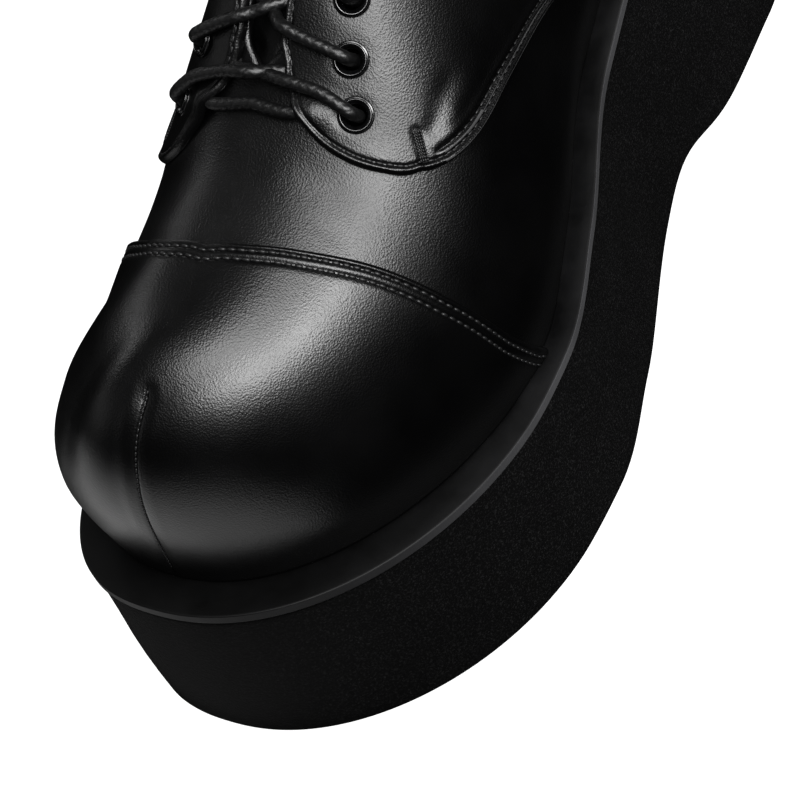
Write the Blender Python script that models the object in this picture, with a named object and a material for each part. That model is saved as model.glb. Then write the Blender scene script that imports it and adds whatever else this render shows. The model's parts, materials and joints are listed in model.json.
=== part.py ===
"""Black lace-up derby on a thick platform: the left shoe of a pair.

Frame: +Z up, toe toward -Y, +X the wearer's left (the outer side of this shoe).
Sizes below are millimetres and are turned into metres when a piece is made.
A point is given by its side (x), its distance from the heel end (u) and its height (z).
"""
import math

import bmesh
import bpy
import numpy as np

for stale in list(bpy.data.objects):
    bpy.data.objects.remove(stale, do_unlink=True)

MM = 0.001
GAP = 0.3

# ---- the last: plan sizes of the sole edge
LENGTH = 270.0
BALL_AT = 181.3
BALL_HALF = 51.6
WAIST_AT = 110.0
OUTER_WAIST_HALF = 34.7
INNER_WAIST_HALF = 31.5
HEEL_AT = 38.0
HEEL_HALF = 31.0
HEEL_ROUND = 2.2
TOE_ROUND = 2.3
TOE_SWING = -12.0
SWING_FROM = 199.0

# ---- platform heights: top edge of the welt above the ground
HEEL_TOP = 89.2
SLOPE_TOP = 68.7
BALL_TOP = 54.5
TOE_TOP = 57.9
ARCH_RISE = 10.3
ARCH_AT = 93.9
ARCH_SPREAD = 19.5
TOE_SPRING = 5.0
SPRING_FROM = 205.0

WELT_THICK = 3.0
SHELF_SIDE = 5.8
SHELF_TOE = 11.3
SHELF_FROM = 185.0
WALL = 2.0
SEAT_OVERLAP = 1.5

OVERLAY_LIFT = 0.55
OVERLAY_THICK = 1.4
CAP_THICK = 1.3

# rows of the upper, one for each section from the heel end to the toe end:
# at = section on the sole edge, reach = how far its top edge moves along,
# close = top edge half width as a share of the bottom half width, top = height of the
# top edge, out and belly = widest point beyond and above the sole edge,
# turn = how far the leather has turned over at the top, full = squareness
SECTION_NAMES = ("at", "reach", "close", "top", "out", "belly", "turn", "full")
SECTIONS = (
    (5.0, 6.0, 0.84, 151.0, 4.0, 24.0, 32.0, 2.0),
    (30.0, 3.0, 0.84, 147.0, 3.8, 23.0, 32.0, 2.0),
    (62.0, 0.0, 0.92, 137.0, 3.2, 20.0, 36.0, 2.0),
    (96.0, -3.0, 0.84, 147.0, 3.0, 18.0, 50.0, 2.0),
    (126.0, -3.0, 0.36, 167.0, 3.0, 18.0, 72.0, 2.0),
    (150.0, -2.0, 0.13, 156.0, 2.4, 18.0, 82.0, 1.95),
    (170.0, -2.0, 0.105, 138.5, 2.0, 18.0, 88.0, 1.95),
    (186.0, -6.0, 0.0, 128.5, 1.6, 18.0, 90.0, 2.0),
    (210.0, -14.0, 0.0, 120.5, 1.4, 19.0, 90.0, 2.05),
    (238.0, -22.0, 0.0, 116.5, 2.0, 21.0, 90.0, 2.25),
    (259.0, -27.0, 0.0, 115.0, 1.6, 22.0, 90.0, 2.3),
)
THROAT_AT = 178.0
THROAT_ROUND = 5.0
RIDGE_SHIFT = -4.0
INNER_TOE_SWELL = 4.4
INNER_SWELL_AT = 243.0
INNER_SWELL_SPREAD = 14.0
BELLY_SHARE = 0.2
# how far the inner side is drawn in below its ridge, at distances along the shoe
DRAWN_AT = (90.0, 118.0, 150.0, 168.0, 190.0, 210.0, 228.0, 242.0, 252.0, 259.0)
DRAWN_IN = (0.0, 4.2, 5.2, 4.6, 3.4, 2.6, 4.1, 4.0, 3.8, 3.4)

AROUND = 30
UP = 13


def eased(xs, ys):
    """A smooth curve through the points that never overshoots them."""
    xs = np.asarray(xs, float)
    ys = np.asarray(ys, float)
    step = np.diff(xs)
    rise = np.diff(ys) / step
    slope = np.zeros(len(xs))
    for i in range(1, len(xs) - 1):
        if rise[i - 1] * rise[i] > 0:
            a = 2 * step[i] + step[i - 1]
            b = step[i] + 2 * step[i - 1]
            slope[i] = (a + b) / (a / rise[i - 1] + b / rise[i])
    slope[0] = end_slope(step[0], step[1], rise[0], rise[1])
    slope[-1] = end_slope(step[-1], step[-2], rise[-1], rise[-2])

    def curve(x):
        x = np.clip(np.asarray(x, float), xs[0], xs[-1])
        i = np.clip(np.searchsorted(xs, x, side="right") - 1, 0, len(xs) - 2)
        h = step[i]
        t = (x - xs[i]) / h
        near = (1 + 2 * t) * (1 - t) ** 2 * ys[i] + t * (1 - t) ** 2 * h * slope[i]
        far = t * t * (3 - 2 * t) * ys[i + 1] + t * t * (t - 1) * h * slope[i + 1]
        return near + far

    return curve


def end_slope(h0, h1, r0, r1):
    """Slope at the first point of a run, kept from turning back."""
    s = ((2 * h0 + h1) * r0 - h0 * r1) / (h0 + h1)
    if s * r0 <= 0:
        return 0.0
    if r0 * r1 < 0 and abs(s) > 3 * abs(r0):
        return 3 * r0
    return s


def flowing(xs, ys):
    """A soft cubic through the points, level at both ends."""
    xs = np.asarray(xs, float)
    ys = np.asarray(ys, float)
    n = len(xs)
    h = np.diff(xs)
    a = np.zeros((n, n))
    b = np.zeros(n)
    a[0, 0] = 1.0
    a[-1, -1] = 1.0
    for i in range(1, n - 1):
        a[i, i - 1] = 1 / h[i - 1]
        a[i, i] = 2 / h[i - 1] + 2 / h[i]
        a[i, i + 1] = 1 / h[i]
        b[i] = 3 * (ys[i] - ys[i - 1]) / h[i - 1] ** 2 + 3 * (ys[i + 1] - ys[i]) / h[i] ** 2
    b[0] = (ys[1] - ys[0]) / h[0]
    b[-1] = (ys[-1] - ys[-2]) / h[-1]
    slope = np.linalg.solve(a, b)

    def curve(x):
        x = np.clip(np.asarray(x, float), xs[0], xs[-1])
        i = np.clip(np.searchsorted(xs, x, side="right") - 1, 0, n - 2)
        t = (x - xs[i]) / h[i]
        near = (1 + 2 * t) * (1 - t) ** 2 * ys[i] + t * (1 - t) ** 2 * h[i] * slope[i]
        far = t * t * (3 - 2 * t) * ys[i + 1] + t * t * (t - 1) * h[i] * slope[i + 1]
        return near + far

    return curve


# ------------------------------------------------------------------ sole edge
def side_width(waist):
    """Half width of one side from the heel to the ball."""
    near_ball = waist + 0.62 * (BALL_HALF - waist)
    return eased((HEEL_AT, 60.0, WAIST_AT, 150.0, BALL_AT, BALL_AT + 20.0),
                 (HEEL_HALF, HEEL_HALF + 1.0, waist, near_ball, BALL_HALF, BALL_HALF - 1.0))


OUTER_WIDTH = side_width(OUTER_WAIST_HALF)
INNER_WIDTH = side_width(INNER_WAIST_HALF)


def swing(u):
    """Sideways shift of the centre line toward the toe."""
    far = np.clip((u - SWING_FROM) / (LENGTH - SWING_FROM), 0, 1)
    return TOE_SWING * far ** 1.6


HEEL_TURN = 0.15
TOE_TURN = 0.60


def edge_at(side, k):
    """Sole edge on one side (+1 outer, -1 inner); k runs 0 at the heel to 1 at the toe."""
    k = np.asarray(k, float)
    width = OUTER_WIDTH if side > 0 else INNER_WIDTH
    a = np.clip(k / HEEL_TURN, 0, 1) * math.pi / 2
    heel_u = HEEL_AT * (1 - np.cos(a) ** (2 / HEEL_ROUND))
    heel_x = HEEL_HALF * np.sin(a) ** (2 / HEEL_ROUND)
    mid_u = HEEL_AT + (BALL_AT - HEEL_AT) * np.clip((k - HEEL_TURN) / (TOE_TURN - HEEL_TURN), 0, 1)
    b = np.clip((k - TOE_TURN) / (1 - TOE_TURN), 0, 1) * math.pi / 2
    toe_u = BALL_AT + (LENGTH - BALL_AT) * np.sin(b) ** (2 / TOE_ROUND)
    toe_x = BALL_HALF * np.abs(np.cos(b)) ** (2 / TOE_ROUND)
    u = np.where(k < HEEL_TURN, heel_u, np.where(k < TOE_TURN, mid_u, toe_u))
    x = np.where(k < HEEL_TURN, heel_x, np.where(k < TOE_TURN, width(mid_u), toe_x))
    x = np.where(k >= 1.0, 0.0, x)
    return side * x + swing(u), u


def edge_normal(side, k):
    """Outward direction of the sole edge in plan."""
    k = np.asarray(k, float)
    d = 1e-4
    k0 = np.clip(k, 2 * d, 1 - 2 * d)
    xa, ua = edge_at(side, k0 - d)
    xb, ub = edge_at(side, k0 + d)
    dx = (xb - xa) * side
    du = (ub - ua) * side
    size = np.hypot(dx, du)
    nx = du / size
    nu = -dx / size
    end = (k <= 0) | (k >= 1)
    nx = np.where(end, 0.0, nx)
    nu = np.where(k >= 1, 1.0, np.where(k <= 0, -1.0, nu))
    return nx, nu


def edge_inset(side, k, inset):
    """Sole edge moved inward by the inset."""
    x, u = edge_at(side, k)
    nx, nu = edge_normal(side, k)
    return x - nx * inset, u - nu * inset


TOP_CURVE = eased((0.0, 60.0, 115.0, 165.0, 200.0, LENGTH),
                  (HEEL_TOP, HEEL_TOP - 4.0, SLOPE_TOP, BALL_TOP + 3.0, BALL_TOP, TOE_TOP))


def welt_top(u):
    return TOP_CURVE(u)


def ground_line(u):
    """Underside of the platform: flat heel and ball, arch and toe spring between."""
    arch = ARCH_RISE * np.exp(-((u - ARCH_AT) / ARCH_SPREAD) ** 2)
    arch = np.where(arch < 0.05, 0.0, arch)
    spring = TOE_SPRING * np.clip((u - SPRING_FROM) / (LENGTH - SPRING_FROM), 0, 1) ** 2
    return arch + spring


def shelf(u):
    """Width of the welt left showing outside the upper."""
    far = np.clip((u - SHELF_FROM) / (LENGTH - SHELF_FROM), 0, 1)
    return SHELF_SIDE + (SHELF_TOE - SHELF_SIDE) * far ** 0.6


def stations(count):
    """Values of k round one side, closer together at the toe and the heel."""
    return np.linspace(0, 1, count + 1)


def loop_of(point, count):
    """Closed ring: outer side heel to toe, then inner side back to the heel."""
    k = stations(count)
    outer = [point(1, v) for v in k]
    inner = [point(-1, v) for v in k[1:-1][::-1]]
    return outer + inner


# ------------------------------------------------------------------ mesh helpers
def to_world(points):
    p = np.asarray(points, float)
    out = np.empty_like(p)
    out[:, 0] = p[:, 0] * MM
    out[:, 1] = (LENGTH / 2 - p[:, 1]) * MM
    out[:, 2] = p[:, 2] * MM
    return out


def material(name, colour, rough):
    mat = bpy.data.materials.new(name)
    mat.use_nodes = True
    shader = mat.node_tree.nodes["Principled BSDF"]
    shader.inputs["Base Color"].default_value = (*colour, 1)
    shader.inputs["Roughness"].default_value = rough
    return mat


def solid(name, points, faces, mat, smooth=True):
    """One closed mesh object with outward faces."""
    mesh = bpy.data.meshes.new(name)
    mesh.from_pydata([tuple(v) for v in to_world(points)], [], faces)
    obj = bpy.data.objects.new(name, mesh)
    bpy.context.scene.collection.objects.link(obj)
    work = bmesh.new()
    work.from_mesh(mesh)
    bmesh.ops.remove_doubles(work, verts=work.verts, dist=1e-6)
    bmesh.ops.recalc_face_normals(work, faces=work.faces)
    work.to_mesh(mesh)
    work.free()
    mesh.materials.append(mat)
    for poly in mesh.polygons:
        poly.use_smooth = smooth
    return obj


def stacked_rings(rings, close_top, close_bottom):
    """Points and faces of rings laid one on the next; caps are strips from side to side."""
    n = len(rings[0])
    points = [p for ring in rings for p in ring]
    faces = []
    for r in range(len(rings) - 1):
        for i in range(n):
            j = (i + 1) % n
            faces.append((r * n + i, r * n + j, (r + 1) * n + j, (r + 1) * n + i))
    if close_bottom:
        faces += cross_strips(0, n)
    if close_top:
        faces += cross_strips((len(rings) - 1) * n, n)
    return points, faces


def cross_strips(start, n):
    """Faces across a ring, joining each outer point to its inner partner."""
    half = n // 2
    faces = [(start, start + 1, start + n - 1)]
    for i in range(1, half - 1):
        faces.append((start + i, start + i + 1, start + n - i - 1, start + n - i))
    faces.append((start + half - 1, start + half, start + half + 1))
    return faces


def ring_band(rings):
    """Points and faces of a closed tube whose section is the list of rings."""
    n = len(rings[0])
    m = len(rings)
    points = [p for ring in rings for p in ring]
    faces = []
    for r in range(m):
        s = (r + 1) % m
        for i in range(n):
            j = (i + 1) % n
            faces.append((r * n + i, r * n + j, s * n + j, s * n + i))
    return points, faces


def grid_slab(top, bottom):
    """Closed slab from two equal grids of points (rows of columns)."""
    rows = len(top)
    cols = len(top[0])
    points = [p for row in top for p in row] + [p for row in bottom for p in row]
    off = rows * cols
    faces = []
    for r in range(rows - 1):
        for c in range(cols - 1):
            a = r * cols + c
            faces.append((a, a + 1, a + cols + 1, a + cols))
            faces.append((off + a, off + a + cols, off + a + cols + 1, off + a + 1))
    rim = [r * cols for r in range(rows)]
    rim += [(rows - 1) * cols + c for c in range(1, cols)]
    rim += [r * cols + cols - 1 for r in range(rows - 2, -1, -1)]
    rim += [c for c in range(cols - 2, 0, -1)]
    for i, a in enumerate(rim):
        b = rim[(i + 1) % len(rim)]
        faces.append((a, b, off + b, off + a))
    return points, faces


# ------------------------------------------------------------------ upper surface
def table(column):
    i = SECTION_NAMES.index(column)
    return flowing([row[0] for row in SECTIONS], [row[i] for row in SECTIONS])


REACH = table("reach")
CLOSE = eased([row[0] for row in SECTIONS], [row[2] for row in SECTIONS])
DRAWN = eased(DRAWN_AT, DRAWN_IN)
TOP = table("top")
OUT = table("out")
BELLY = table("belly")
TURN = table("turn")
FULL = table("full")


RIDGE = flowing((0.0, 60.0, 130.0, 170.0, 205.0, 235.0),
                (0.0, 0.0, RIDGE_SHIFT * 0.8, RIDGE_SHIFT, RIDGE_SHIFT, RIDGE_SHIFT))


def ridge_line(u):
    """Sideways place of the instep ridge."""
    return RIDGE(u)


def feather_at(side, k):
    """Line where the upper meets the welt."""
    x, u = edge_at(side, k)
    return edge_inset(side, k, shelf(u))


def section_at(k):
    """Distance along the shoe of the section at k."""
    return (feather_at(1, k)[1] + feather_at(-1, k)[1]) / 2


def eased_step(share):
    share = np.clip(share, 0, 1)
    return share * share * (3 - 2 * share)


def last_at(side, k, t):
    """Face of the last; t runs 0 at the welt to 1 at the collar, throat edge or ridge."""
    fx, fu = feather_at(side, k)
    nx, nu = edge_normal(side, k)
    at = section_at(k)
    sharp = np.sqrt(np.clip((THROAT_AT - at) / THROAT_ROUND, 0, 1))
    soft = 1 - eased_step((at - THROAT_AT + 14.0) / 28.0)
    half = CLOSE(at) * (soft + (sharp - soft) * eased_step((t - 0.86) / 0.14))
    eu = at + REACH(at)
    ex = ridge_line(eu) + (fx - swing(fu)) * half
    ez = TOP(at)
    fz = welt_top(fu) + GAP
    out = OUT(fu)
    if side < 0:
        near = np.exp(-((fu - INNER_SWELL_AT) / INNER_SWELL_SPREAD) ** 2)
        out = out + INNER_TOE_SWELL * near * np.clip((1 - k) / 0.14, 0, 1)
    belly = BELLY(fu)
    turn = np.radians(TURN(fu))
    full = FULL(fu)
    low = np.clip(t / BELLY_SHARE, 0, 1)
    a = np.clip((t - BELLY_SHARE) / (1 - BELLY_SHARE), 0, 1) * turn
    level = np.maximum(np.cos(a), 0) ** (2 / full)
    last = np.maximum(np.cos(turn), 0) ** (2 / full)
    inward = (1 - level) / (1 - last)
    upward = (np.sin(a) / np.sin(turn)) ** (2 / full)
    swell = out * np.sin(low * math.pi / 2) * (1 - inward)
    x = fx + nx * swell + (ex - fx) * inward
    u = fu + nu * swell + (eu - fu) * (inward + (1 - inward) * inward ** 4)
    z = fz + belly * low + (ez - fz - belly) * upward
    return np.stack([x, u, z], -1)


def upper_at(side, k, t):
    """Outer face of the upper: the last, with its inner side drawn in below the ridge."""
    k = np.asarray(k, float)
    t = np.asarray(t, float)
    point = last_at(side, k, t)
    if side > 0:
        return point
    nx, nu = edge_normal(side, k)
    drawn = DRAWN(section_at(k)) * eased_step((1 - t) / 0.45) * eased_step((t - 0.12) / 0.35)
    drawn = drawn * eased_step((1 - k) / 0.15) * 1.06
    inward = np.stack(np.broadcast_arrays(-0.78 * nx, -0.78 * nu, -0.63), -1)
    return point + inward * drawn[..., None]


def upper_normal(side, k, t):
    """Outward direction of the upper's outer face."""
    k = np.clip(np.asarray(k, float), 0.002, 0.998)
    t = np.asarray(t, float)
    t = np.clip(t, 0.01, 0.985)
    dk = upper_at(side, k + 0.001, t) - upper_at(side, k - 0.001, t)
    dt = upper_at(side, k, t + 0.01) - upper_at(side, k, t - 0.01)
    n = np.cross(dt, dk) * side
    n = n / np.linalg.norm(n, axis=-1, keepdims=True)
    return -n


def is_shut(k):
    """True where the two sides of the upper join along the ridge."""
    return float(section_at(k)) >= THROAT_AT - 0.001


def on_upper(side, k, t, lift):
    """Point a set distance outside (or, negative, inside) the upper's outer face."""
    point = upper_at(side, k, t)
    normal = upper_normal(side, k, t)
    if k <= 0 or k >= 1 or (t >= 1 and is_shut(k)):
        normal = normal + upper_normal(-side, k, t)
        normal = normal / np.linalg.norm(normal)
    moved = point + normal * lift
    if t <= 0:
        flat = np.array([normal[0], normal[1], 0.0])
        moved = point + flat / np.linalg.norm(flat) * lift
    return moved


def upper_station(at):
    """k of the section standing at a distance along the shoe."""
    low, high = 0.0, 1.0
    for _ in range(40):
        mid = (low + high) / 2
        if float(section_at(mid)) < at:
            low = mid
        else:
            high = mid
    return high


THROAT_K = upper_station(THROAT_AT)


def upper_stations():
    """Sections used for the upper, closer together at the front of the throat."""
    back = np.linspace(0, THROAT_K - 0.028, 17)
    throat = THROAT_K - np.array([0.016, 0.007, 0.002])
    front = np.linspace(THROAT_K, 1, 13)
    return np.concatenate([back, throat, front])


def share_up(count):
    """Steps from the welt to the top edge."""
    low = np.linspace(0, BELLY_SHARE, 3)
    high = np.linspace(BELLY_SHARE, 1, count - 1)[1:]
    return np.concatenate([low, high])


# ------------------------------------------------------------------ sole unit
def platform_ring(inset, height):
    def point(side, k):
        x, u = edge_inset(side, k, inset)
        return (float(x), float(u), float(height(u)))
    return loop_of(point, AROUND)


def between(low, high, share):
    return lambda u: low(u) * (1 - share) + high(u) * share


def platform_top(u):
    return welt_top(u) - WELT_THICK - GAP


def build_platform(mat):
    """Thick foam block under the welt, with grooves let into the tread."""
    rings = [platform_ring(2.2, ground_line)]
    rings.append(platform_ring(0.9, lambda u: ground_line(u) + 0.5))
    rings.append(platform_ring(0.3, lambda u: ground_line(u) + 1.9))
    rings.append(platform_ring(-0.2, between(ground_line, platform_top, 0.35)))
    rings.append(platform_ring(0.1, between(ground_line, platform_top, 0.7)))
    rings.append(platform_ring(0.8, platform_top))
    points, faces = stacked_rings(rings, True, True)
    block = solid("platform_sole", points, faces, mat)
    for i, (at, width) in enumerate(groove_rows()):
        cut_groove(block, i, at, width)
    return block


GROOVE_WIDE = 4.0
GROOVE_DEEP = 2.5
GROOVE_MARGIN = 11.0
FORE_GROOVES = (156.0, 169.0, 182.0, 195.0)
HEEL_GROOVES = (22.0, 35.0, 48.0)


def groove_rows():
    """Distance along the shoe and length of each cross groove."""
    rows = []
    for at in HEEL_GROOVES + FORE_GROOVES:
        half = min(float(OUTER_WIDTH(max(at, HEEL_AT))), float(INNER_WIDTH(max(at, HEEL_AT))))
        if at < HEEL_AT:
            half = HEEL_HALF * (1 - ((HEEL_AT - at) / HEEL_AT) ** HEEL_ROUND) ** (1 / HEEL_ROUND)
        rows.append((at, 2 * (half - GROOVE_MARGIN)))
    return rows


def cut_groove(block, number, at, length):
    """One straight groove across the tread."""
    mesh = bpy.data.meshes.new("groove_cut")
    work = bmesh.new()
    bmesh.ops.create_cube(work, size=1.0)
    bmesh.ops.scale(work, vec=(length * MM, GROOVE_WIDE * MM, 2 * GROOVE_DEEP * MM), verts=work.verts)
    shift = (swing(at) * MM, (LENGTH / 2 - at) * MM, 0)
    bmesh.ops.translate(work, vec=shift, verts=work.verts)
    work.to_mesh(mesh)
    work.free()
    cutter = bpy.data.objects.new("groove_cutter_%d" % (number + 1), mesh)
    bpy.context.scene.collection.objects.link(cutter)
    cutter.hide_render = True
    cutter.display_type = "WIRE"
    cut = block.modifiers.new("groove_%d" % (number + 1), "BOOLEAN")
    cut.operation = "DIFFERENCE"
    cut.solver = "EXACT"
    cut.object = cutter


# ------------------------------------------------------------------ welt and insole
def plan_ring(inset, height):
    """Ring at an inset from the sole edge that may widen toward the toe."""
    def point(side, k):
        x0, u0 = edge_at(side, k)
        x, u = edge_inset(side, k, inset(u0))
        return (float(x), float(u), float(height(u)))
    return loop_of(point, AROUND)


def seat_inset(u):
    return shelf(u) + WALL + SEAT_OVERLAP


def build_welt(mat):
    """Flat band between the platform and the upper, standing a little proud all round."""
    foot = lambda u: welt_top(u) - WELT_THICK
    rings = [
        plan_ring(lambda u: 0.7 + 0 * u, foot),
        plan_ring(lambda u: 0.0 * u, lambda u: foot(u) + 0.6),
        plan_ring(lambda u: 0.0 * u, lambda u: welt_top(u) - 0.6),
        plan_ring(lambda u: 0.7 + 0 * u, welt_top),
        plan_ring(seat_inset, welt_top),
        plan_ring(seat_inset, foot),
    ]
    points, faces = ring_band(rings)
    return solid("welt", points, faces, mat)


INSOLE_RISE = 1.2


def build_insole(mat):
    """Board the foot stands on, inside the welt band."""
    inset = lambda u: seat_inset(u) + 0.4
    foot = lambda u: welt_top(u) - WELT_THICK
    rings = [
        plan_ring(inset, foot),
        plan_ring(inset, lambda u: welt_top(u) + INSOLE_RISE - 0.6),
        plan_ring(lambda u: inset(u) + 0.6, lambda u: welt_top(u) + INSOLE_RISE),
    ]
    points, faces = stacked_rings(rings, True, True)
    return solid("insole", points, faces, mat)


# ------------------------------------------------------------------ upper and overlays
def build_upper(mat):
    """One hollow leather form: vamp and quarters, open at collar, throat and underneath."""
    ks = upper_stations()
    ts = share_up(UP)
    points = []
    faces = []
    for side in (1, -1):
        for lift in (0.0, -WALL):
            start = len(points)
            for k in ks:
                for t in ts:
                    points.append(tuple(on_upper(side, k, t, lift)))
            faces += quad_grid(start, len(ks), len(ts))
        outer = len(points) - 2 * len(ks) * len(ts)
        inner = len(points) - len(ks) * len(ts)
        for i in range(len(ks) - 1):
            a = i * len(ts)
            b = (i + 1) * len(ts)
            faces.append((outer + a, outer + b, inner + b, inner + a))
            if not is_shut(ks[i]):
                a += len(ts) - 1
                b += len(ts) - 1
                faces.append((outer + a, outer + b, inner + b, inner + a))
    return solid("upper", points, faces, mat)


def quad_grid(start, rows, cols):
    faces = []
    for r in range(rows - 1):
        for c in range(cols - 1):
            a = start + r * cols + c
            faces.append((a, a + 1, a + cols + 1, a + cols))
    return faces


# toe cap edge: share of the way round at each share of the way up
CAP_UP = (0.0, 0.2, 0.4, 0.6, 0.8, 0.92, 1.0)
CAP_ROUND = {1: (0.600, 0.619, 0.637, 0.660, 0.699, 0.730, 0.750),
             -1: (0.612, 0.630, 0.650, 0.676, 0.713, 0.738, 0.750)}
CAP_EDGE = {side: eased(CAP_UP, CAP_ROUND[side]) for side in (1, -1)}
CAP_STEPS = 4


def build_toe_cap(mat):
    """Cap laid over the toe, its back edge standing proud of the vamp."""
    ts = share_up(UP)
    front = [k for k in upper_stations() if k > CAP_ROUND[1][-1] + 0.02]
    columns = CAP_STEPS + len(front)
    points = []
    faces = []
    for side in (1, -1):
        starts = []
        for lift in (OVERLAY_LIFT + CAP_THICK, OVERLAY_LIFT):
            starts.append(len(points))
            for c in range(columns):
                for t in ts:
                    edge = float(CAP_EDGE[side](t))
                    near = edge + (front[0] - edge) * c / CAP_STEPS
                    k = near if c < CAP_STEPS else front[c - CAP_STEPS]
                    points.append(tuple(on_upper(side, k, t, lift)))
            faces += quad_grid(starts[-1], columns, len(ts))
        n = len(ts)
        outer, inner = starts
        for i in range(columns - 1):
            a, b = i * n, (i + 1) * n
            faces.append((outer + a, outer + b, inner + b, inner + a))
        for c in range(n - 1):
            faces.append((outer + c, outer + c + 1, inner + c + 1, inner + c))
    return solid("toe_cap", points, faces, mat)


# edges of the quarters: share up at each share of the way round
EDGE_NAMES = ("round", "up")
FRONT_EDGE = ((0.0, 0.0), (0.10, 0.0), (0.20, 0.0), (0.245, 0.0), (0.275, 0.07), (0.31, 0.17),
              (0.35, 0.26), (0.42, 0.35), (0.48, 0.42), (0.54, 0.49))
OUTER_TAB = ((0.570, 0.535), (0.584, 0.560), (0.598, 0.596), (0.606, 0.635), (0.611, 0.675),
             (0.6155, 0.720), (0.618, 0.762), (0.6185, 0.780))
INNER_TAB = ((0.570, 0.500), (0.592, 0.510), (0.604, 0.524), (0.610, 0.548), (0.617, 0.600),
             (0.6225, 0.660), (0.6243, 0.700))
OUTER_FACING = ((0.0, 1.0), (0.2, 1.0), (0.564, 1.0), (0.580, 0.957), (0.594, 0.930),
                (0.605, 0.905), (0.611, 0.880), (0.6155, 0.850), (0.618, 0.820), (0.6185, 0.805))
INNER_FACING = ((0.0, 1.0), (0.2, 1.0), (0.560, 1.0), (0.572, 0.981), (0.581, 0.953),
                (0.590, 0.927), (0.600, 0.905), (0.609, 0.856), (0.616, 0.822), (0.620, 0.785),
                (0.6235, 0.745), (0.6243, 0.720))
LOW_EDGE = {1: eased(*zip(*(FRONT_EDGE + OUTER_TAB))), -1: eased(*zip(*(FRONT_EDGE + INNER_TAB)))}
HIGH_EDGE = {1: eased(*zip(*OUTER_FACING)), -1: eased(*zip(*INNER_FACING))}
TAB_END = {1: OUTER_TAB[-1][0], -1: INNER_TAB[-1][0]}
BACK_SEAM = 0.0006


def quarter_stations(side):
    """Sections of a quarter: those of the upper, then its own round the tab."""
    end = TAB_END[side]
    shared = [k for k in upper_stations() if 0 < k < end - 0.021]
    tab = [end - back for back in (0.016, 0.006, 0.0)]
    return [BACK_SEAM] + sorted(shared + tab)


def build_quarter(name, side, mat):
    """Side panel with its lace tab, laid over the vamp."""
    top = []
    bottom = []
    for k in quarter_stations(side):
        low = float(LOW_EDGE[side](k))
        high = float(HIGH_EDGE[side](k))
        row = low + (high - low) * share_up(UP)
        top.append([tuple(on_upper(side, k, t, OVERLAY_LIFT + OVERLAY_THICK)) for t in row])
        bottom.append([tuple(on_upper(side, k, t, OVERLAY_LIFT)) for t in row])
    points, faces = grid_slab(top, bottom)
    return solid(name, points, faces, mat)


# ------------------------------------------------------------------ tongue
TONGUE_THICK = 3.0
TONGUE_SIDE = eased((122.0, 134.0, 150.0, 200.0), (1.0, 6.0, 12.0, 12.0))
TONGUE_FIT = 1.2
TONGUE_FROM = 196.0
TONGUE_TO = 122.0
TONGUE_STAND = 19.0
TONGUE_SLOPE = 36.0
TONGUE_ACROSS = 9
# share of the free length, share of the width
TONGUE_END = ((0.3, 0.93), (0.62, 0.89), (0.87, 0.75), (1.0, 0.46))


def share_in(side, k, distance):
    """Share up the section at a distance down from its top edge."""
    ts = np.linspace(0, 1, 81)
    line = upper_at(side, np.full_like(ts, k), ts)
    run = np.cumsum(np.linalg.norm(np.diff(line, axis=0), axis=1))
    left = run[-1] - np.concatenate([[0], run])
    return float(np.interp(-distance, -left, ts))


def spread_evenly(line, count):
    line = np.asarray(line)
    run = np.concatenate([[0], np.cumsum(np.linalg.norm(np.diff(line, axis=0), axis=1))])
    want = np.linspace(0, run[-1], count)
    return np.stack([np.interp(want, run, line[:, i]) for i in range(3)], -1)


def tongue_row(k):
    """Points across the tongue under the section at k."""
    depth = -(WALL + TONGUE_FIT)
    sides = []
    for side in (1, -1):
        low = share_in(side, k, float(TONGUE_SIDE(section_at(k))))
        steps = np.linspace(low, 1, 7)
        sides.append([on_upper(side, k, t, depth) for t in steps])
    line = sides[0] + sides[1][::-1]
    return spread_evenly(line, TONGUE_ACROSS)


def build_tongue(mat):
    """Padded strip under the lacing, standing a little above the facings."""
    ks = [k for k in upper_stations() if TONGUE_TO <= section_at(k) <= TONGUE_FROM]
    rows = [tongue_row(k) for k in ks[::-1]]
    base = rows[-1]
    centre = base.mean(axis=0)
    slope = math.radians(TONGUE_SLOPE)
    lean = np.array([0.0, -math.cos(slope), math.sin(slope)])
    for reach, width in TONGUE_END:
        rows.append(centre + (base - centre) * width + lean * TONGUE_STAND * reach)
    top = np.array(rows)
    along = np.gradient(top, axis=0)
    across = np.gradient(top, axis=1)
    normal = np.cross(across, along)
    normal /= np.linalg.norm(normal, axis=2, keepdims=True)
    if normal[0, TONGUE_ACROSS // 2, 2] < 0:
        normal = -normal
    bottom = top - normal * TONGUE_THICK
    points, faces = grid_slab([[tuple(p) for p in r] for r in top],
                              [[tuple(p) for p in r] for r in bottom])
    return solid("tongue", points, faces, mat)


# ------------------------------------------------------------------ eyelets and lace
EYELET_ROUND = (0.593, 0.560, 0.528, 0.497, 0.466)
EYELET_FROM_EDGE = {1: (24.0, 16.3, 14.3, 14.3, 14.3), -1: (24.8, 13.6, 12.0, 12.0, 12.0)}
EYELET_OUTER = 4.0
EYELET_HOLE = 2.4
EYELET_TALL = 1.0
EYELET_SIDES = 10
EYELET_REST = 0.9


def eyelet_place(side, row):
    """Centre on the quarter's face and outward direction of one eyelet."""
    k = EYELET_ROUND[row]
    t = share_in(side, k, EYELET_FROM_EDGE[side][row])
    normal = upper_normal(side, k, t)
    centre = on_upper(side, k, t, OVERLAY_LIFT + OVERLAY_THICK)
    return centre + normal * (EYELET_REST if row == 0 else 0.0), normal


def cross_axes(normal):
    across = np.cross(normal, (0.0, 0.0, 1.0))
    across /= np.linalg.norm(across)
    return across, np.cross(normal, across)


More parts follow.
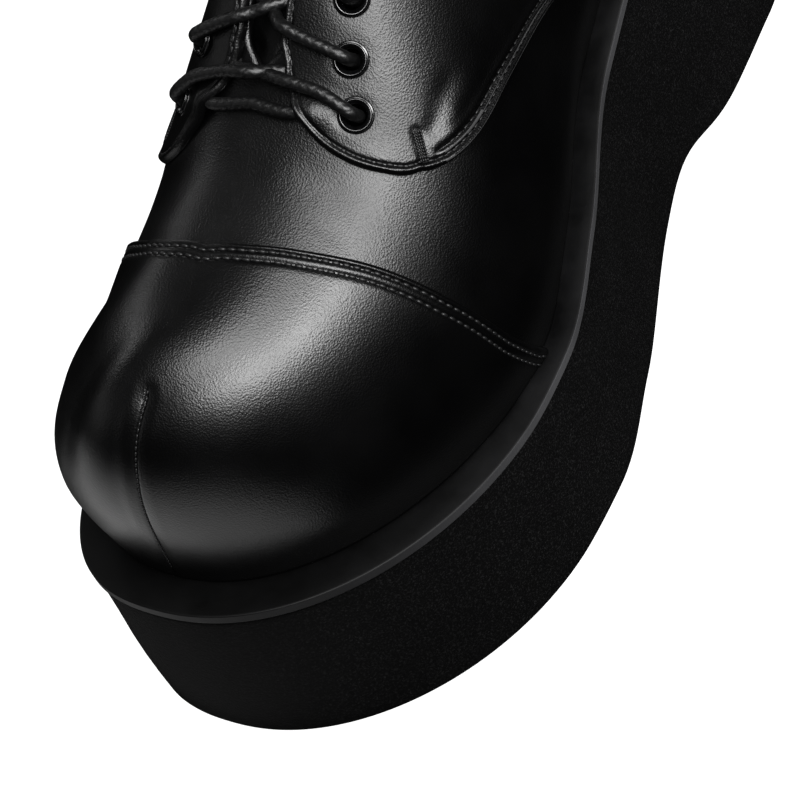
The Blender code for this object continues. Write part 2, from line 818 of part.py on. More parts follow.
def build_eyelet(name, side, row, mat):
    """Flat metal ring on the lace tab."""
    centre, normal = eyelet_place(side, row)
    a, b = cross_axes(normal)
    profile = ((EYELET_HOLE, GAP), (EYELET_OUTER, GAP), (EYELET_OUTER - 0.5, GAP + EYELET_TALL),
               (EYELET_HOLE, GAP + EYELET_TALL * 0.8))
    rings = []
    for radius, height in profile:
        ring = []
        for i in range(EYELET_SIDES):
            ang = 2 * math.pi * i / EYELET_SIDES
            ring.append(tuple(centre + normal * height + (a * math.cos(ang) + b * math.sin(ang)) * radius))
        rings.append(ring)
    points, faces = ring_band(rings)
    return solid(name, points, faces, mat)


LACE_RADIUS = 1.5
LACE_SIDES = 6
LACE_CLEAR = 0.4
BAR_ROUND = 0.6095
BAR_STEPS = ((1, 0.93), (1, 0.965), (1, 1.0), (-1, 0.95), (-1, 0.898))


def smooth_path(knots, per_span):
    """Soft curve through the knots."""
    knots = np.asarray(knots, float)
    ends = np.concatenate([[2 * knots[0] - knots[1]], knots, [2 * knots[-1] - knots[-2]]])
    out = []
    for i in range(len(knots) - 1):
        p0, p1, p2, p3 = ends[i:i + 4]
        for j in range(per_span):
            t = j / per_span
            out.append(0.5 * (2 * p1 + (p2 - p0) * t + (2 * p0 - 5 * p1 + 4 * p2 - p3) * t * t
                              + (3 * p1 - p0 - 3 * p2 + p3) * t ** 3))
    out.append(knots[-1])
    return np.array(out)


def tube(path, radius, sides):
    """Points and faces of a closed round cord along a path."""
    along = np.gradient(path, axis=0)
    along /= np.linalg.norm(along, axis=1, keepdims=True)
    frame = np.cross(along[0], (0.0, 0.0, 1.0))
    rings = []
    for p, d in zip(path, along):
        frame = frame - d * frame.dot(d)
        frame /= np.linalg.norm(frame)
        other = np.cross(d, frame)
        ring = []
        for i in range(sides):
            ang = 2 * math.pi * i / sides
            ring.append(tuple(p + (frame * math.cos(ang) + other * math.sin(ang)) * radius))
        rings.append(ring)
    points = [q for ring in rings for q in ring]
    faces = []
    for r in range(len(rings) - 1):
        for i in range(sides):
            j = (i + 1) % sides
            faces.append((r * sides + i, r * sides + j, (r + 1) * sides + j, (r + 1) * sides + i))
    faces.append(tuple(range(sides))[::-1])
    faces.append(tuple((len(rings) - 1) * sides + i for i in range(sides)))
    return points, faces


def tongue_point(k, share):
    """Point above the tongue; share runs -1 at the inner facing to 1 at the outer one."""
    outer = on_upper(1, k, 1.0, -(WALL + TONGUE_FIT))
    inner = on_upper(-1, k, 1.0, -(WALL + TONGUE_FIT))
    mid = (outer + inner) / 2
    half = (outer - inner) / 2
    normal = upper_normal(1, k, 1.0) + upper_normal(-1, k, 1.0)
    normal /= np.linalg.norm(normal)
    return mid + half * share + normal * (LACE_RADIUS + LACE_CLEAR)


def strand_path(side, row):
    """Cord from an eyelet, over its facing, across the tongue to the other facing."""
    centre, normal = eyelet_place(side, row)
    k = EYELET_ROUND[row]
    k_next = EYELET_ROUND[row + 1]
    over = OVERLAY_LIFT + OVERLAY_THICK + LACE_RADIUS + LACE_CLEAR + 0.3
    if row == 0:
        over += 1.6
    start = centre + normal * (EYELET_TALL + GAP + LACE_RADIUS + LACE_CLEAR + 0.5)
    k_a = k + (k_next - k) * 0.15
    k_b = k + (k_next - k) * 0.30
    mid_t = share_in(side, k_a, EYELET_FROM_EDGE[side][row] * 0.5)
    rise = on_upper(side, k_a, mid_t, over + 0.5)
    lip = on_upper(side, k_b, 1.0, over)
    inner_lip = tongue_point(k + (k_next - k) * 0.44, 0.72 * side)
    inner_lip = inner_lip + upper_normal(side, k_b, 1.0) * (5.4, 4.0, 3.2, 3.2)[row]
    crossing = tongue_point(k + (k_next - k) * 0.62, 0.0)
    end = tongue_point(k + (k_next - k) * 0.84, -0.55 * side)
    if row == 0:
        end = tongue_point(k + (k_next - k) * 0.90, -0.24 * side)
    return smooth_path([start, rise, lip, inner_lip, crossing, end], 2)


def join_cord(first, name, path, mat):
    """Join one more run of cord to a piece."""
    other = solid(name, *tube(path, LACE_RADIUS, LACE_SIDES), mat)
    other.hide_render = True
    other.display_type = "WIRE"
    join = first.modifiers.new(name, "BOOLEAN")
    join.operation = "UNION"
    join.solver = "EXACT"
    join.object = other


def build_crossing(row, mat):
    """Two strands crossing over the tongue, joined where they touch."""
    name = "lace_cross_%d" % (row + 1)
    first = solid(name, *tube(strand_path(1, row), LACE_RADIUS, LACE_SIDES), mat)
    join_cord(first, "lace_strand_%d" % (row + 1), strand_path(-1, row), mat)


def build_bar(mat):
    """First run of the lace, over the vamp from one facing to the other."""
    lift = LACE_RADIUS + LACE_CLEAR
    knots = [on_upper(side, BAR_ROUND, t, lift) for side, t in BAR_STEPS]
    solid("lace_bar", *tube(smooth_path(knots, 1), LACE_RADIUS, LACE_SIDES), mat)


# ------------------------------------------------------------------ all pieces
def build_all():
    leather = material("black_leather", (0.02, 0.02, 0.022), 0.35)
    lining = material("tongue_leather", (0.02, 0.02, 0.022), 0.45)
    foam = material("charcoal_foam", (0.035, 0.035, 0.037), 0.85)
    rubber = material("black_rubber", (0.045, 0.047, 0.05), 0.6)
    board = material("insole_board", (0.05, 0.048, 0.045), 0.8)
    metal = material("black_metal", (0.03, 0.03, 0.033), 0.35)
    cord = material("waxed_cord", (0.02, 0.02, 0.02), 0.5)
    build_platform(foam)
    build_welt(rubber)
    build_insole(board)
    build_upper(leather)
    build_toe_cap(leather)
    build_quarter("quarter_outer", 1, leather)
    build_quarter("quarter_inner", -1, leather)
    build_tongue(lining)
    for row in range(len(EYELET_ROUND)):
        build_eyelet("eyelet_outer_%d" % (row + 1), 1, row, metal)
        build_eyelet("eyelet_inner_%d" % (row + 1), -1, row, metal)
    for row in range(len(EYELET_ROUND) - 1):
        build_crossing(row, cord)
    build_bar(cord)


build_all()
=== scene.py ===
"""Looks of a black platform derby, the left shoe of a pair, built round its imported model.

Lengths are millimetres until a mesh is made. A point is its side (x, + is the outer side),
its distance from the heel end (u) and its height (z).
"""
import json
import math

import bmesh
import bpy
import numpy as np
from mathutils import Matrix, Vector

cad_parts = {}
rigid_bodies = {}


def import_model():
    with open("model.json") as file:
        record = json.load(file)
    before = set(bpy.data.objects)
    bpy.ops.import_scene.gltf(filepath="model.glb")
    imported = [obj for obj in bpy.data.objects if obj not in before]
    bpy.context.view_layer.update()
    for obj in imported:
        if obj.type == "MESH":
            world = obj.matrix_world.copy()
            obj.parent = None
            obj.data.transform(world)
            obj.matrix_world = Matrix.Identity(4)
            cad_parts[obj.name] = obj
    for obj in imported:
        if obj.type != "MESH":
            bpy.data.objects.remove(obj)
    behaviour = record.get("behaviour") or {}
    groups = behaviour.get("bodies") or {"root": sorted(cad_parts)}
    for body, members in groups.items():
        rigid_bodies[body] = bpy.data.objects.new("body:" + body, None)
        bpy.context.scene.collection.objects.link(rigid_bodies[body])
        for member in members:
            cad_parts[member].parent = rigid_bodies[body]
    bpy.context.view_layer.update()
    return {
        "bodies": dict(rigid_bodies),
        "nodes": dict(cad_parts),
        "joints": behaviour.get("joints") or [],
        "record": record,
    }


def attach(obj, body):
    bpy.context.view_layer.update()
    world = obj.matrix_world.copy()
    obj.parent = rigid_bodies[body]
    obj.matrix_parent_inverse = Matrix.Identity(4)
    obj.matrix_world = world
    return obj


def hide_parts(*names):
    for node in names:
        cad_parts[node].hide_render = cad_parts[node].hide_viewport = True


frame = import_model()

# ---- Platform
# One thick block of moulded foam, matt and slightly speckled, with a waist arch, a lifted toe
# and cross grooves in the tread. The whole shoe is built up on its outline.
LENGTH = 270.0
BALL_AT, BALL_HALF = 181.3, 51.6
WAIST_AT, OUTER_WAIST_HALF, INNER_WAIST_HALF = 110.0, 34.7, 31.5
HEEL_AT, HEEL_HALF = 38.0, 31.0
HEEL_ROUND, TOE_ROUND = 2.2, 2.3
HEEL_TURN, TOE_TURN = 0.15, 0.60
TOE_SWING, SWING_FROM = -12.0, 199.0
HEEL_TOP, SLOPE_TOP, BALL_TOP, TOE_TOP = 89.2, 68.7, 54.5, 57.9
ARCH_RISE, ARCH_AT, ARCH_SPREAD = 10.3, 93.9, 19.5
TOE_SPRING, SPRING_FROM = 5.0, 205.0
WELT_THICK = 3.0
CLEAR = 0.3
GROOVE_WIDE, GROOVE_DEEP, GROOVE_MARGIN = 4.0, 2.5, 11.0
FORE_GROOVES = (156.0, 169.0, 182.0, 195.0)
HEEL_GROOVES = (22.0, 35.0, 48.0)
FOAM_BLACK = (0.0021, 0.0021, 0.0022)
FOAM_FLECK = (0.025, 0.025, 0.0255)
# stretch along the shoe over which painted shade darkens the foam and the welt toward the toe
PAINTED_SHADE_FROM, PAINTED_SHADE_TO = 190.0, 266.0
SOLE_AROUND = 150


def eased(xs, ys):
    """A smooth curve through the points that never overshoots them."""
    xs, ys = np.asarray(xs, float), np.asarray(ys, float)
    step = np.diff(xs)
    rise = np.diff(ys) / step
    slope = np.zeros(len(xs))
    for i in range(1, len(xs) - 1):
        if rise[i - 1] * rise[i] > 0:
            a = 2 * step[i] + step[i - 1]
            b = step[i] + 2 * step[i - 1]
            slope[i] = (a + b) / (a / rise[i - 1] + b / rise[i])
    slope[0] = end_slope(step[0], step[1], rise[0], rise[1])
    slope[-1] = end_slope(step[-1], step[-2], rise[-1], rise[-2])
    return hermite(xs, ys, slope)


def end_slope(h0, h1, r0, r1):
    """Slope at the first point of a run, kept from turning back."""
    s = ((2 * h0 + h1) * r0 - h0 * r1) / (h0 + h1)
    if s * r0 <= 0:
        return 0.0
    if r0 * r1 < 0 and abs(s) > 3 * abs(r0):
        return 3 * r0
    return s


def hermite(xs, ys, slope):
    """Curve through the points with a given slope at each."""
    def curve(x):
        x = np.clip(np.asarray(x, float), xs[0], xs[-1])
        i = np.clip(np.searchsorted(xs, x, side="right") - 1, 0, len(xs) - 2)
        h = (xs[1:] - xs[:-1])[i]
        t = (x - xs[i]) / h
        near = (1 + 2 * t) * (1 - t) ** 2 * ys[i] + t * (1 - t) ** 2 * h * slope[i]
        far = t * t * (3 - 2 * t) * ys[i + 1] + t * t * (t - 1) * h * slope[i + 1]
        return near + far
    return curve


def side_width(waist):
    """Half width of one side from the heel to the ball."""
    near_ball = waist + 0.62 * (BALL_HALF - waist)
    return eased((HEEL_AT, 60.0, WAIST_AT, 150.0, BALL_AT, BALL_AT + 20.0),
                 (HEEL_HALF, HEEL_HALF + 1.0, waist, near_ball, BALL_HALF, BALL_HALF - 1.0))


WIDTH = {1: side_width(OUTER_WAIST_HALF), -1: side_width(INNER_WAIST_HALF)}


def swing(u):
    """Sideways shift of the centre line toward the toe."""
    return TOE_SWING * np.clip((u - SWING_FROM) / (LENGTH - SWING_FROM), 0, 1) ** 1.6


def edge_at(side, k):
    """Sole edge on one side; k runs 0 at the heel to 1 at the toe."""
    k = np.asarray(k, float)
    a = np.clip(k / HEEL_TURN, 0, 1) * math.pi / 2
    b = np.clip((k - TOE_TURN) / (1 - TOE_TURN), 0, 1) * math.pi / 2
    heel_u = HEEL_AT * (1 - np.cos(a) ** (2 / HEEL_ROUND))
    heel_x = HEEL_HALF * np.sin(a) ** (2 / HEEL_ROUND)
    mid_u = HEEL_AT + (BALL_AT - HEEL_AT) * np.clip((k - HEEL_TURN) / (TOE_TURN - HEEL_TURN), 0, 1)
    toe_u = BALL_AT + (LENGTH - BALL_AT) * np.sin(b) ** (2 / TOE_ROUND)
    toe_x = BALL_HALF * np.abs(np.cos(b)) ** (2 / TOE_ROUND)
    u = np.where(k < HEEL_TURN, heel_u, np.where(k < TOE_TURN, mid_u, toe_u))
    x = np.where(k < HEEL_TURN, heel_x, np.where(k < TOE_TURN, WIDTH[side](mid_u), toe_x))
    return side * np.where(k >= 1, 0.0, x) + swing(u), u


def edge_normal(side, k):
    """Outward direction of the sole edge in plan."""
    k = np.asarray(k, float)
    d = 1e-4
    k0 = np.clip(k, 2 * d, 1 - 2 * d)
    xa, ua = edge_at(side, k0 - d)
    xb, ub = edge_at(side, k0 + d)
    dx, du = (xb - xa) * side, (ub - ua) * side
    size = np.hypot(dx, du)
    end = (k <= 0) | (k >= 1)
    nx = np.where(end, 0.0, du / size)
    nu = np.where(k >= 1, 1.0, np.where(k <= 0, -1.0, -dx / size))
    return nx, nu


def edge_inset(side, k, inset):
    x, u = edge_at(side, k)
    nx, nu = edge_normal(side, k)
    return x - nx * inset, u - nu * inset


welt_top = eased((0.0, 60.0, 115.0, 165.0, 200.0, LENGTH),
                 (HEEL_TOP, HEEL_TOP - 4.0, SLOPE_TOP, BALL_TOP + 3.0, BALL_TOP, TOE_TOP))


def ground_line(u):
    """Underside of the platform: flat heel and ball, with the arch and toe spring."""
    arch = ARCH_RISE * np.exp(-((u - ARCH_AT) / ARCH_SPREAD) ** 2)
    spring = TOE_SPRING * np.clip((u - SPRING_FROM) / (LENGTH - SPRING_FROM), 0, 1) ** 2
    return np.where(arch < 0.05, 0.0, arch) + spring


def ring(inset, height, around=SOLE_AROUND):
    """Closed ring round the sole; inset and height are worked out from the place along it."""
    k = (1 - np.cos(np.linspace(0, math.pi, around + 1))) / 2
    k = 0.55 * k + 0.45 * np.linspace(0, 1, around + 1)
    run = []
    for side, part in ((1, k), (-1, k[1:-1][::-1])):
        _, along = edge_at(side, part)
        x, u = edge_inset(side, part, inset(along))
        run.append(np.stack([x, u, height(u)], -1))
    return np.concatenate(run)


def ring_wall(rings, closed=False):
    """Faces joining each ring of points to the next."""
    n, m = len(rings[0]), len(rings)
    faces = []
    for r in range(m if closed else m - 1):
        s = (r + 1) % m
        for i in range(n):
            j = (i + 1) % n
            faces.append((r * n + i, r * n + j, s * n + j, s * n + i))
    return faces


def ring_lid(start, n):
    """Faces across a ring, each joining an outer point to its inner partner."""
    faces = [(start, start + 1, start + n - 1)]
    for i in range(1, n // 2 - 1):
        faces.append((start + i, start + i + 1, start + n - i - 1, start + n - i))
    return faces + [(start + n // 2 - 1, start + n // 2, start + n // 2 + 1)]


def link(obj):
    bpy.context.scene.collection.objects.link(obj)
    return obj


def piece(name, points, faces, *mats, slots=None):
    """A smooth mesh object from points in millimetres, with its faces turned outward."""
    p = np.asarray(points, float)
    world = np.stack([p[:, 0], LENGTH / 2 - p[:, 1], p[:, 2]], -1) / 1000
    mesh = bpy.data.meshes.new(name)
    mesh.from_pydata(world.tolist(), [], [tuple(int(i) for i in f) for f in faces])
    for mat in mats:
        mesh.materials.append(mat)
    if slots is not None:
        mesh.polygons.foreach_set("material_index", np.asarray(slots, np.int32))
    work = bmesh.new()
    work.from_mesh(mesh)
    bmesh.ops.remove_doubles(work, verts=work.verts, dist=2e-6)
    bmesh.ops.recalc_face_normals(work, faces=work.faces)
    for f in work.faces:
        f.smooth = True
    work.to_mesh(mesh)
    work.free()
    return link(bpy.data.objects.new(name, mesh))


def made_plain(obj):
    """The object's evaluated shape as a plain mesh, with nothing live left on it."""
    deps = bpy.context.evaluated_depsgraph_get()
    mesh = bpy.data.meshes.new_from_object(obj.evaluated_get(deps))
    name = obj.name
    bpy.data.objects.remove(obj, do_unlink=True)
    mesh.name = name
    return link(bpy.data.objects.new(name, mesh))


def cut_away(obj, cutter, solver="EXACT"):
    """Takes the cutter's shape out of a piece."""
    cut = obj.modifiers.new("cut", "BOOLEAN")
    cut.operation = "DIFFERENCE"
    cut.solver = solver
    cut.object = cutter
    plain = made_plain(obj)
    bpy.data.objects.remove(cutter, do_unlink=True)
    return plain


def finish_tree(name):
    """A new material with its shader, and short ways to add nodes and join them."""
    mat = bpy.data.materials.new(name)
    mat.use_nodes = True
    tree = mat.node_tree
    shader = tree.nodes["Principled BSDF"]

    def add(kind, **settings):
        node = tree.nodes.new(kind)
        for key, value in settings.items():
            if hasattr(node, key):
                setattr(node, key, value)
            else:
                node.inputs[key].default_value = value
        return node

    def join(a, out, b, into):
        tree.links.new(a.outputs[out], b.inputs[into])

    return mat, shader, add, join


def ramp_between(add, low, high, first, last):
    """Colour ramp from the first colour to the last."""
    node = add("ShaderNodeValToRGB")
    node.color_ramp.elements[0].position = low
    node.color_ramp.elements[0].color = (*first, 1)
    node.color_ramp.elements[1].position = high
    node.color_ramp.elements[1].color = (*last, 1)
    return node


def painted_toe_shade(add, join, place, shade_at_toe):
    """A share that is 1 up to the ball and falls to another value at the toe; multiplied into a colour it paints
    shade round the toe.
    """
    along, toe_shade_share = add("ShaderNodeSeparateXYZ"), add("ShaderNodeMapRange")
    toe_shade_share.inputs["From Min"].default_value = (LENGTH / 2 - PAINTED_SHADE_FROM) / 1000
    toe_shade_share.inputs["From Max"].default_value = (LENGTH / 2 - PAINTED_SHADE_TO) / 1000
    toe_shade_share.inputs["To Min"].default_value = 1.0
    toe_shade_share.inputs["To Max"].default_value = shade_at_toe
    join(place, "Object", along, "Vector")
    join(along, "Y", toe_shade_share, "Value")
    return toe_shade_share


def foam_finish():
    """Matt moulded foam: fine flecks, closed pores, a very slight cloudiness and painted shade toward the toe.
    """
    mat, shader, add, join = finish_tree("speckled_foam")
    place = add("ShaderNodeTexCoord")
    fleck = add("ShaderNodeTexNoise", Scale=1900.0, Detail=3.0, Roughness=0.7)
    cloud = add("ShaderNodeTexNoise", Scale=45.0, Detail=3.0, Roughness=0.55)
    pores = add("ShaderNodeTexVoronoi", Scale=1250.0)
    tint = ramp_between(add, 0.52, 0.78, FOAM_BLACK, FOAM_FLECK)
    shade = add("ShaderNodeMix", data_type="RGBA", blend_type="MULTIPLY")
    shade.inputs[0].default_value = 0.55
    # painted shade: the foam's colour falls to 0.4 of itself at the toe
    toe_shade_share = painted_toe_shade(add, join, place, 0.4)
    dark = add("ShaderNodeMix", data_type="RGBA", blend_type="MULTIPLY")
    dark.inputs[0].default_value = 1.0
    pale = ramp_between(add, 0.3, 0.7, (0.6, 0.6, 0.6), (1.25, 1.25, 1.25))
    raised = add("ShaderNodeMath", operation="ADD")
    bump = add("ShaderNodeBump", Strength=0.35, Distance=0.00022)
    for tex in (fleck, cloud, pores):
        join(place, "Object", tex, "Vector")
    join(fleck, "Fac", tint, "Fac")
    join(cloud, "Fac", pale, "Fac")
    join(tint, "Color", shade, 6)
    join(pale, "Color", shade, 7)
    join(shade, 2, dark, 6)
    join(toe_shade_share, "Result", dark, 7)
    join(dark, 2, shader, "Base Color")
    join(fleck, "Fac", raised, 0)
    join(pores, "Distance", raised, 1)
    join(raised, "Value", bump, "Height")
    join(bump, "Normal", shader, "Normal")
    shader.inputs["Roughness"].default_value = 0.86
    shader.inputs["Specular IOR Level"].default_value = 0.10
    return mat


def groove_half(at):
    """Half length of the cross groove at a distance along the shoe."""
    half = min(float(WIDTH[1](max(at, HEEL_AT))), float(WIDTH[-1](max(at, HEEL_AT))))
    if at < HEEL_AT:
        half = HEEL_HALF * (1 - ((HEEL_AT - at) / HEEL_AT) ** HEEL_ROUND) ** (1 / HEEL_ROUND)
    return half - GROOVE_MARGIN


def groove_cutter():
    """Long bars with round ends that leave the grooves in the tread."""
    points, faces = [], []
    for at in HEEL_GROOVES + FORE_GROOVES:
        half, r = groove_half(at), GROOVE_WIDE / 2
        plan = []
        for i in range(16):
            a = math.pi * (i + 0.5) / 8 - math.pi / 2
            shift = (half - r) * (1 if math.cos(a) > 0 else -1)
            plan.append((float(swing(at)) + shift + r * math.cos(a), at + r * math.sin(a)))
        start = len(points)
        points += [(x, u, -GROOVE_DEEP) for x, u in plan] + [(x, u, GROOVE_DEEP) for x, u in plan]
        faces += [(start + i, start + (i + 1) % 16, start + 16 + (i + 1) % 16, start + 16 + i)
                  for i in range(16)]
        faces += [tuple(start + i for i in range(16))[::-1], tuple(start + 16 + i for i in range(16))]
    return piece("groove_cutter", points, faces)


def build_platform(mat):
    top = lambda u: welt_top(u) - WELT_THICK - CLEAR
    part_way = lambda s: (lambda u: ground_line(u) * (1 - s) + top(u) * s)
    off_ground = lambda h: (lambda u: ground_line(u) + h)
    rings = [ring(lambda u, i=i: i + 0 * u, off_ground(h))
             for i, h in ((2.6, 0.0), (1.7, 0.12), (1.0, 0.5), (0.5, 1.1), (0.25, 2.0))]
    for share in (0.1, 0.2, 0.35, 0.5, 0.7, 0.85, 0.96):
        bulge = 0.35 - 0.55 * math.sin(math.pi * min(share / 0.75, 1.0)) + 0.35 * share ** 4
        rings.append(ring(lambda u, b=bulge: b + 0 * u, part_way(share)))
    rings += [ring(lambda u: 0.75 + 0 * u, lambda u: top(u) - 0.3),
              ring(lambda u: 1.1 + 0 * u, top)]
    n = len(rings[0])
    faces = ring_wall(rings) + ring_lid(0, n) + ring_lid((len(rings) - 1) * n, n)
    block = piece("foam_platform", np.concatenate(rings), faces, mat)
    return cut_away(block, groove_cutter())


foam = foam_finish()
platform = build_platform(foam)
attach(platform, "root")
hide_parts("platform_sole")

# ---- Welt
# A moulded rubber strip between platform and upper. It stands proud all round as a narrow
# shelf, dished toward the leather, and its edge is smoother and paler than the foam: partly the
# rubber's own tone, partly a painted reflection of the floor. Both carry painted shade at the toe.
SHELF_SIDE, SHELF_TOE, SHELF_FROM = 5.8, 11.3, 185.0
CUT_RINGS = 7
WALL = 2.0
UNDER_LAP = 1.5
RUBBER_BLACK = (0.0009, 0.0009, 0.0010)
RUBBER_WORN = (0.0060, 0.0060, 0.0063)
# pale cut edge: partly the rubber's own paler tone, partly a painted reflection of the floor
CUT_EDGE_AND_REFLECTION = (0.045, 0.045, 0.047)


def shelf(u):
    """Width of the welt left showing outside the upper."""
    far = np.clip((u - SHELF_FROM) / (LENGTH - SHELF_FROM), 0, 1)
    return SHELF_SIDE + (SHELF_TOE - SHELF_SIDE) * far ** 0.6


def rubber_finish(name, black, pale_end, shine, shade_at_toe):
    """Smooth dark rubber with faint handling marks; its colour falls to a share at the toe as painted shade."""
    mat, shader, add, join = finish_tree(name)
    place = add("ShaderNodeTexCoord")
    fine = add("ShaderNodeTexNoise", Scale=1400.0, Detail=2.0)
    wipe = add("ShaderNodeTexNoise", Scale=70.0, Detail=4.0, Roughness=0.6)
    dull = add("ShaderNodeMapRange")
    dull.inputs["To Min"].default_value = 0.42
    dull.inputs["To Max"].default_value = 0.6
    tint = ramp_between(add, 0.35, 0.7, black, pale_end)
    toe_shade_share = painted_toe_shade(add, join, place, shade_at_toe)
    shade = add("ShaderNodeMix", data_type="RGBA", blend_type="MULTIPLY")
    shade.inputs[0].default_value = 1.0
    bump = add("ShaderNodeBump", Strength=0.12, Distance=0.0001)
    for tex in (fine, wipe):
        join(place, "Object", tex, "Vector")
    join(wipe, "Fac", dull, "Value")
    join(dull, "Result", shader, "Roughness")
    join(wipe, "Fac", tint, "Fac")
    join(tint, "Color", shade, 6)
    join(toe_shade_share, "Result", shade, 7)
    join(shade, 2, shader, "Base Color")
    join(fine, "Fac", bump, "Height")
    join(bump, "Normal", shader, "Normal")
    shader.inputs["Specular IOR Level"].default_value = shine
    return mat


def build_welt(top, cut):
    """Section of the strip, from under its lip, over the shelf and in beneath the upper."""
    foot = lambda u: welt_top(u) - WELT_THICK
    lap = lambda u: shelf(u) + WALL + UNDER_LAP
    flat = lambda value: (lambda u: value + 0 * u)
    rings = [ring(flat(0.45), foot), ring(flat(0.1), lambda u: foot(u) + 0.1),
             ring(flat(0.0), lambda u: foot(u) + 0.3), ring(flat(0.0), lambda u: foot(u) + 0.45),
             ring(flat(0.0), lambda u: foot(u) + 1.5), ring(flat(0.0), lambda u: welt_top(u) - 0.5),
             ring(flat(0.0), lambda u: welt_top(u) - 0.35), ring(flat(0.08), lambda u: welt_top(u) - 0.2),
             ring(flat(0.25), lambda u: welt_top(u) - 0.12), ring(flat(0.6), lambda u: welt_top(u) - 0.08)]
    for share, dish in ((0.28, 0.0), (0.45, 0.02), (0.65, 0.12), (0.85, 0.27), (1.0, 0.36)):
        rings.append(ring(lambda u, s=share: shelf(u) * s, lambda u, d=dish: welt_top(u) - d))
    rings += [ring(lap, lambda u: welt_top(u) - 0.3), ring(lap, foot)]
    faces = ring_wall(rings, closed=True)
    in_ring = len(faces) // len(rings)
    slots = [1 if i // in_ring < CUT_RINGS else 0 for i in range(len(faces))]
    return piece("rubber_welt", np.concatenate(rings), faces, top, cut, slots=slots)


# painted shade: the shelf's colour falls to 0.2 and the cut edge's to 0.08 of itself at the toe
rubber = rubber_finish("welt_rubber", RUBBER_BLACK, RUBBER_WORN, 0.20, 0.2)
cut_rubber = rubber_finish("welt_cut_edge", CUT_EDGE_AND_REFLECTION, tuple(1.25 * c for c in CUT_EDGE_AND_REFLECTION), 0.1, 0.08)
welt = build_welt(rubber, cut_rubber)
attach(welt, "root")
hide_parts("welt")

# ---- Insole
# A thin board covered in dark cloth, dropped in inside the welt. It dips a little under the
# heel and ball where a foot stands.
INSOLE_RISE = 1.2
CLOTH_BLACK = (0.02, 0.019, 0.018)


def cloth_finish():
    """Close woven cloth, dull and dark."""
    mat, shader, add, join = finish_tree("insole_cloth")
    place = add("ShaderNodeTexCoord")
    warp = add("ShaderNodeTexWave", wave_type="BANDS", bands_direction="X", Scale=420.0)
    weft = add("ShaderNodeTexWave", wave_type="BANDS", bands_direction="Y", Scale=420.0)
    weave = add("ShaderNodeMath", operation="MULTIPLY")
    tint = ramp_between(add, 0.1, 0.9, CLOTH_BLACK, (0.05, 0.048, 0.045))
    bump = add("ShaderNodeBump", Strength=0.4, Distance=0.00025)
    for tex in (warp, weft):
        join(place, "Object", tex, "Vector")
    join(warp, "Fac", weave, 0)
    join(weft, "Fac", weave, 1)
    join(weave, "Value", tint, "Fac")
    join(tint, "Color", shader, "Base Color")
    join(weave, "Value", bump, "Height")
    join(bump, "Normal", shader, "Normal")
    shader.inputs["Roughness"].default_value = 0.9
    return mat


def build_insole(mat):
    edge = lambda u: shelf(u) + WALL + UNDER_LAP + 0.4
    rings = [ring(edge, lambda u: welt_top(u) - WELT_THICK),
             ring(edge, lambda u: welt_top(u) + INSOLE_RISE - 0.6)]
    for extra, height in ((0.25, INSOLE_RISE - 0.15), (0.8, INSOLE_RISE), (3.0, INSOLE_RISE - 0.1),
                          (8.0, INSOLE_RISE - 0.5), (14.0, INSOLE_RISE - 0.9)):
        rings.append(ring(lambda u, e=extra: edge(u) + e, lambda u, h=height: welt_top(u) + h))
    n = len(rings[0])
    faces = ring_wall(rings) + ring_lid(0, n) + ring_lid((len(rings) - 1) * n, n)
    return piece("cloth_insole", np.concatenate(rings), faces, mat)


cloth = cloth_finish()
insole = build_insole(cloth)
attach(insole, "root")
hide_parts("insole")

# ---- Upper
# One sheet of soft black leather drawn over the last and tucked under inside the welt. It is
# open at the collar and the throat, lined with smooth dark leather, and lightly creased.
SECTION_NAMES = ("at", "reach", "close", "top", "out", "belly", "turn", "full")
SECTIONS = (
    (5.0, 6.0, 0.84, 151.0, 4.0, 24.0, 32.0, 2.0),
    (30.0, 3.0, 0.84, 147.0, 3.8, 23.0, 32.0, 2.0),
    (62.0, 0.0, 0.92, 137.0, 3.2, 20.0, 36.0, 2.0),
    (96.0, -3.0, 0.84, 147.0, 3.0, 18.0, 50.0, 2.0),
    (126.0, -3.0, 0.36, 167.0, 3.0, 18.0, 72.0, 2.0),
    (150.0, -2.0, 0.13, 156.0, 2.4, 18.0, 82.0, 1.95),
    (170.0, -2.0, 0.105, 138.5, 2.0, 18.0, 88.0, 1.95),
    (186.0, -6.0, 0.0, 128.5, 1.6, 18.0, 90.0, 2.0),
    (210.0, -14.0, 0.0, 120.5, 1.4, 19.0, 90.0, 2.05),
    (238.0, -22.0, 0.0, 116.5, 2.0, 21.0, 90.0, 2.25),
    (259.0, -27.0, 0.0, 115.0, 1.6, 22.0, 90.0, 2.3),
)
THROAT_AT, THROAT_ROUND = 178.0, 5.0
RIDGE_SHIFT = -4.0
INNER_TOE_SWELL, INNER_SWELL_AT, INNER_SWELL_SPREAD = 4.4, 243.0, 14.0
BELLY_SHARE = 0.2
# how far the inner side is drawn in below its ridge, at distances along the shoe
DRAWN_AT = (90.0, 118.0, 150.0, 168.0, 190.0, 210.0, 228.0, 242.0, 252.0, 259.0)
DRAWN_IN = (0.0, 4.2, 5.2, 4.6, 3.4, 2.6, 4.1, 4.0, 3.8, 3.4)
LEATHER_BLACK = (0.0008, 0.0008, 0.0009)
LEATHER_WORN = (0.0015, 0.0015, 0.0016)
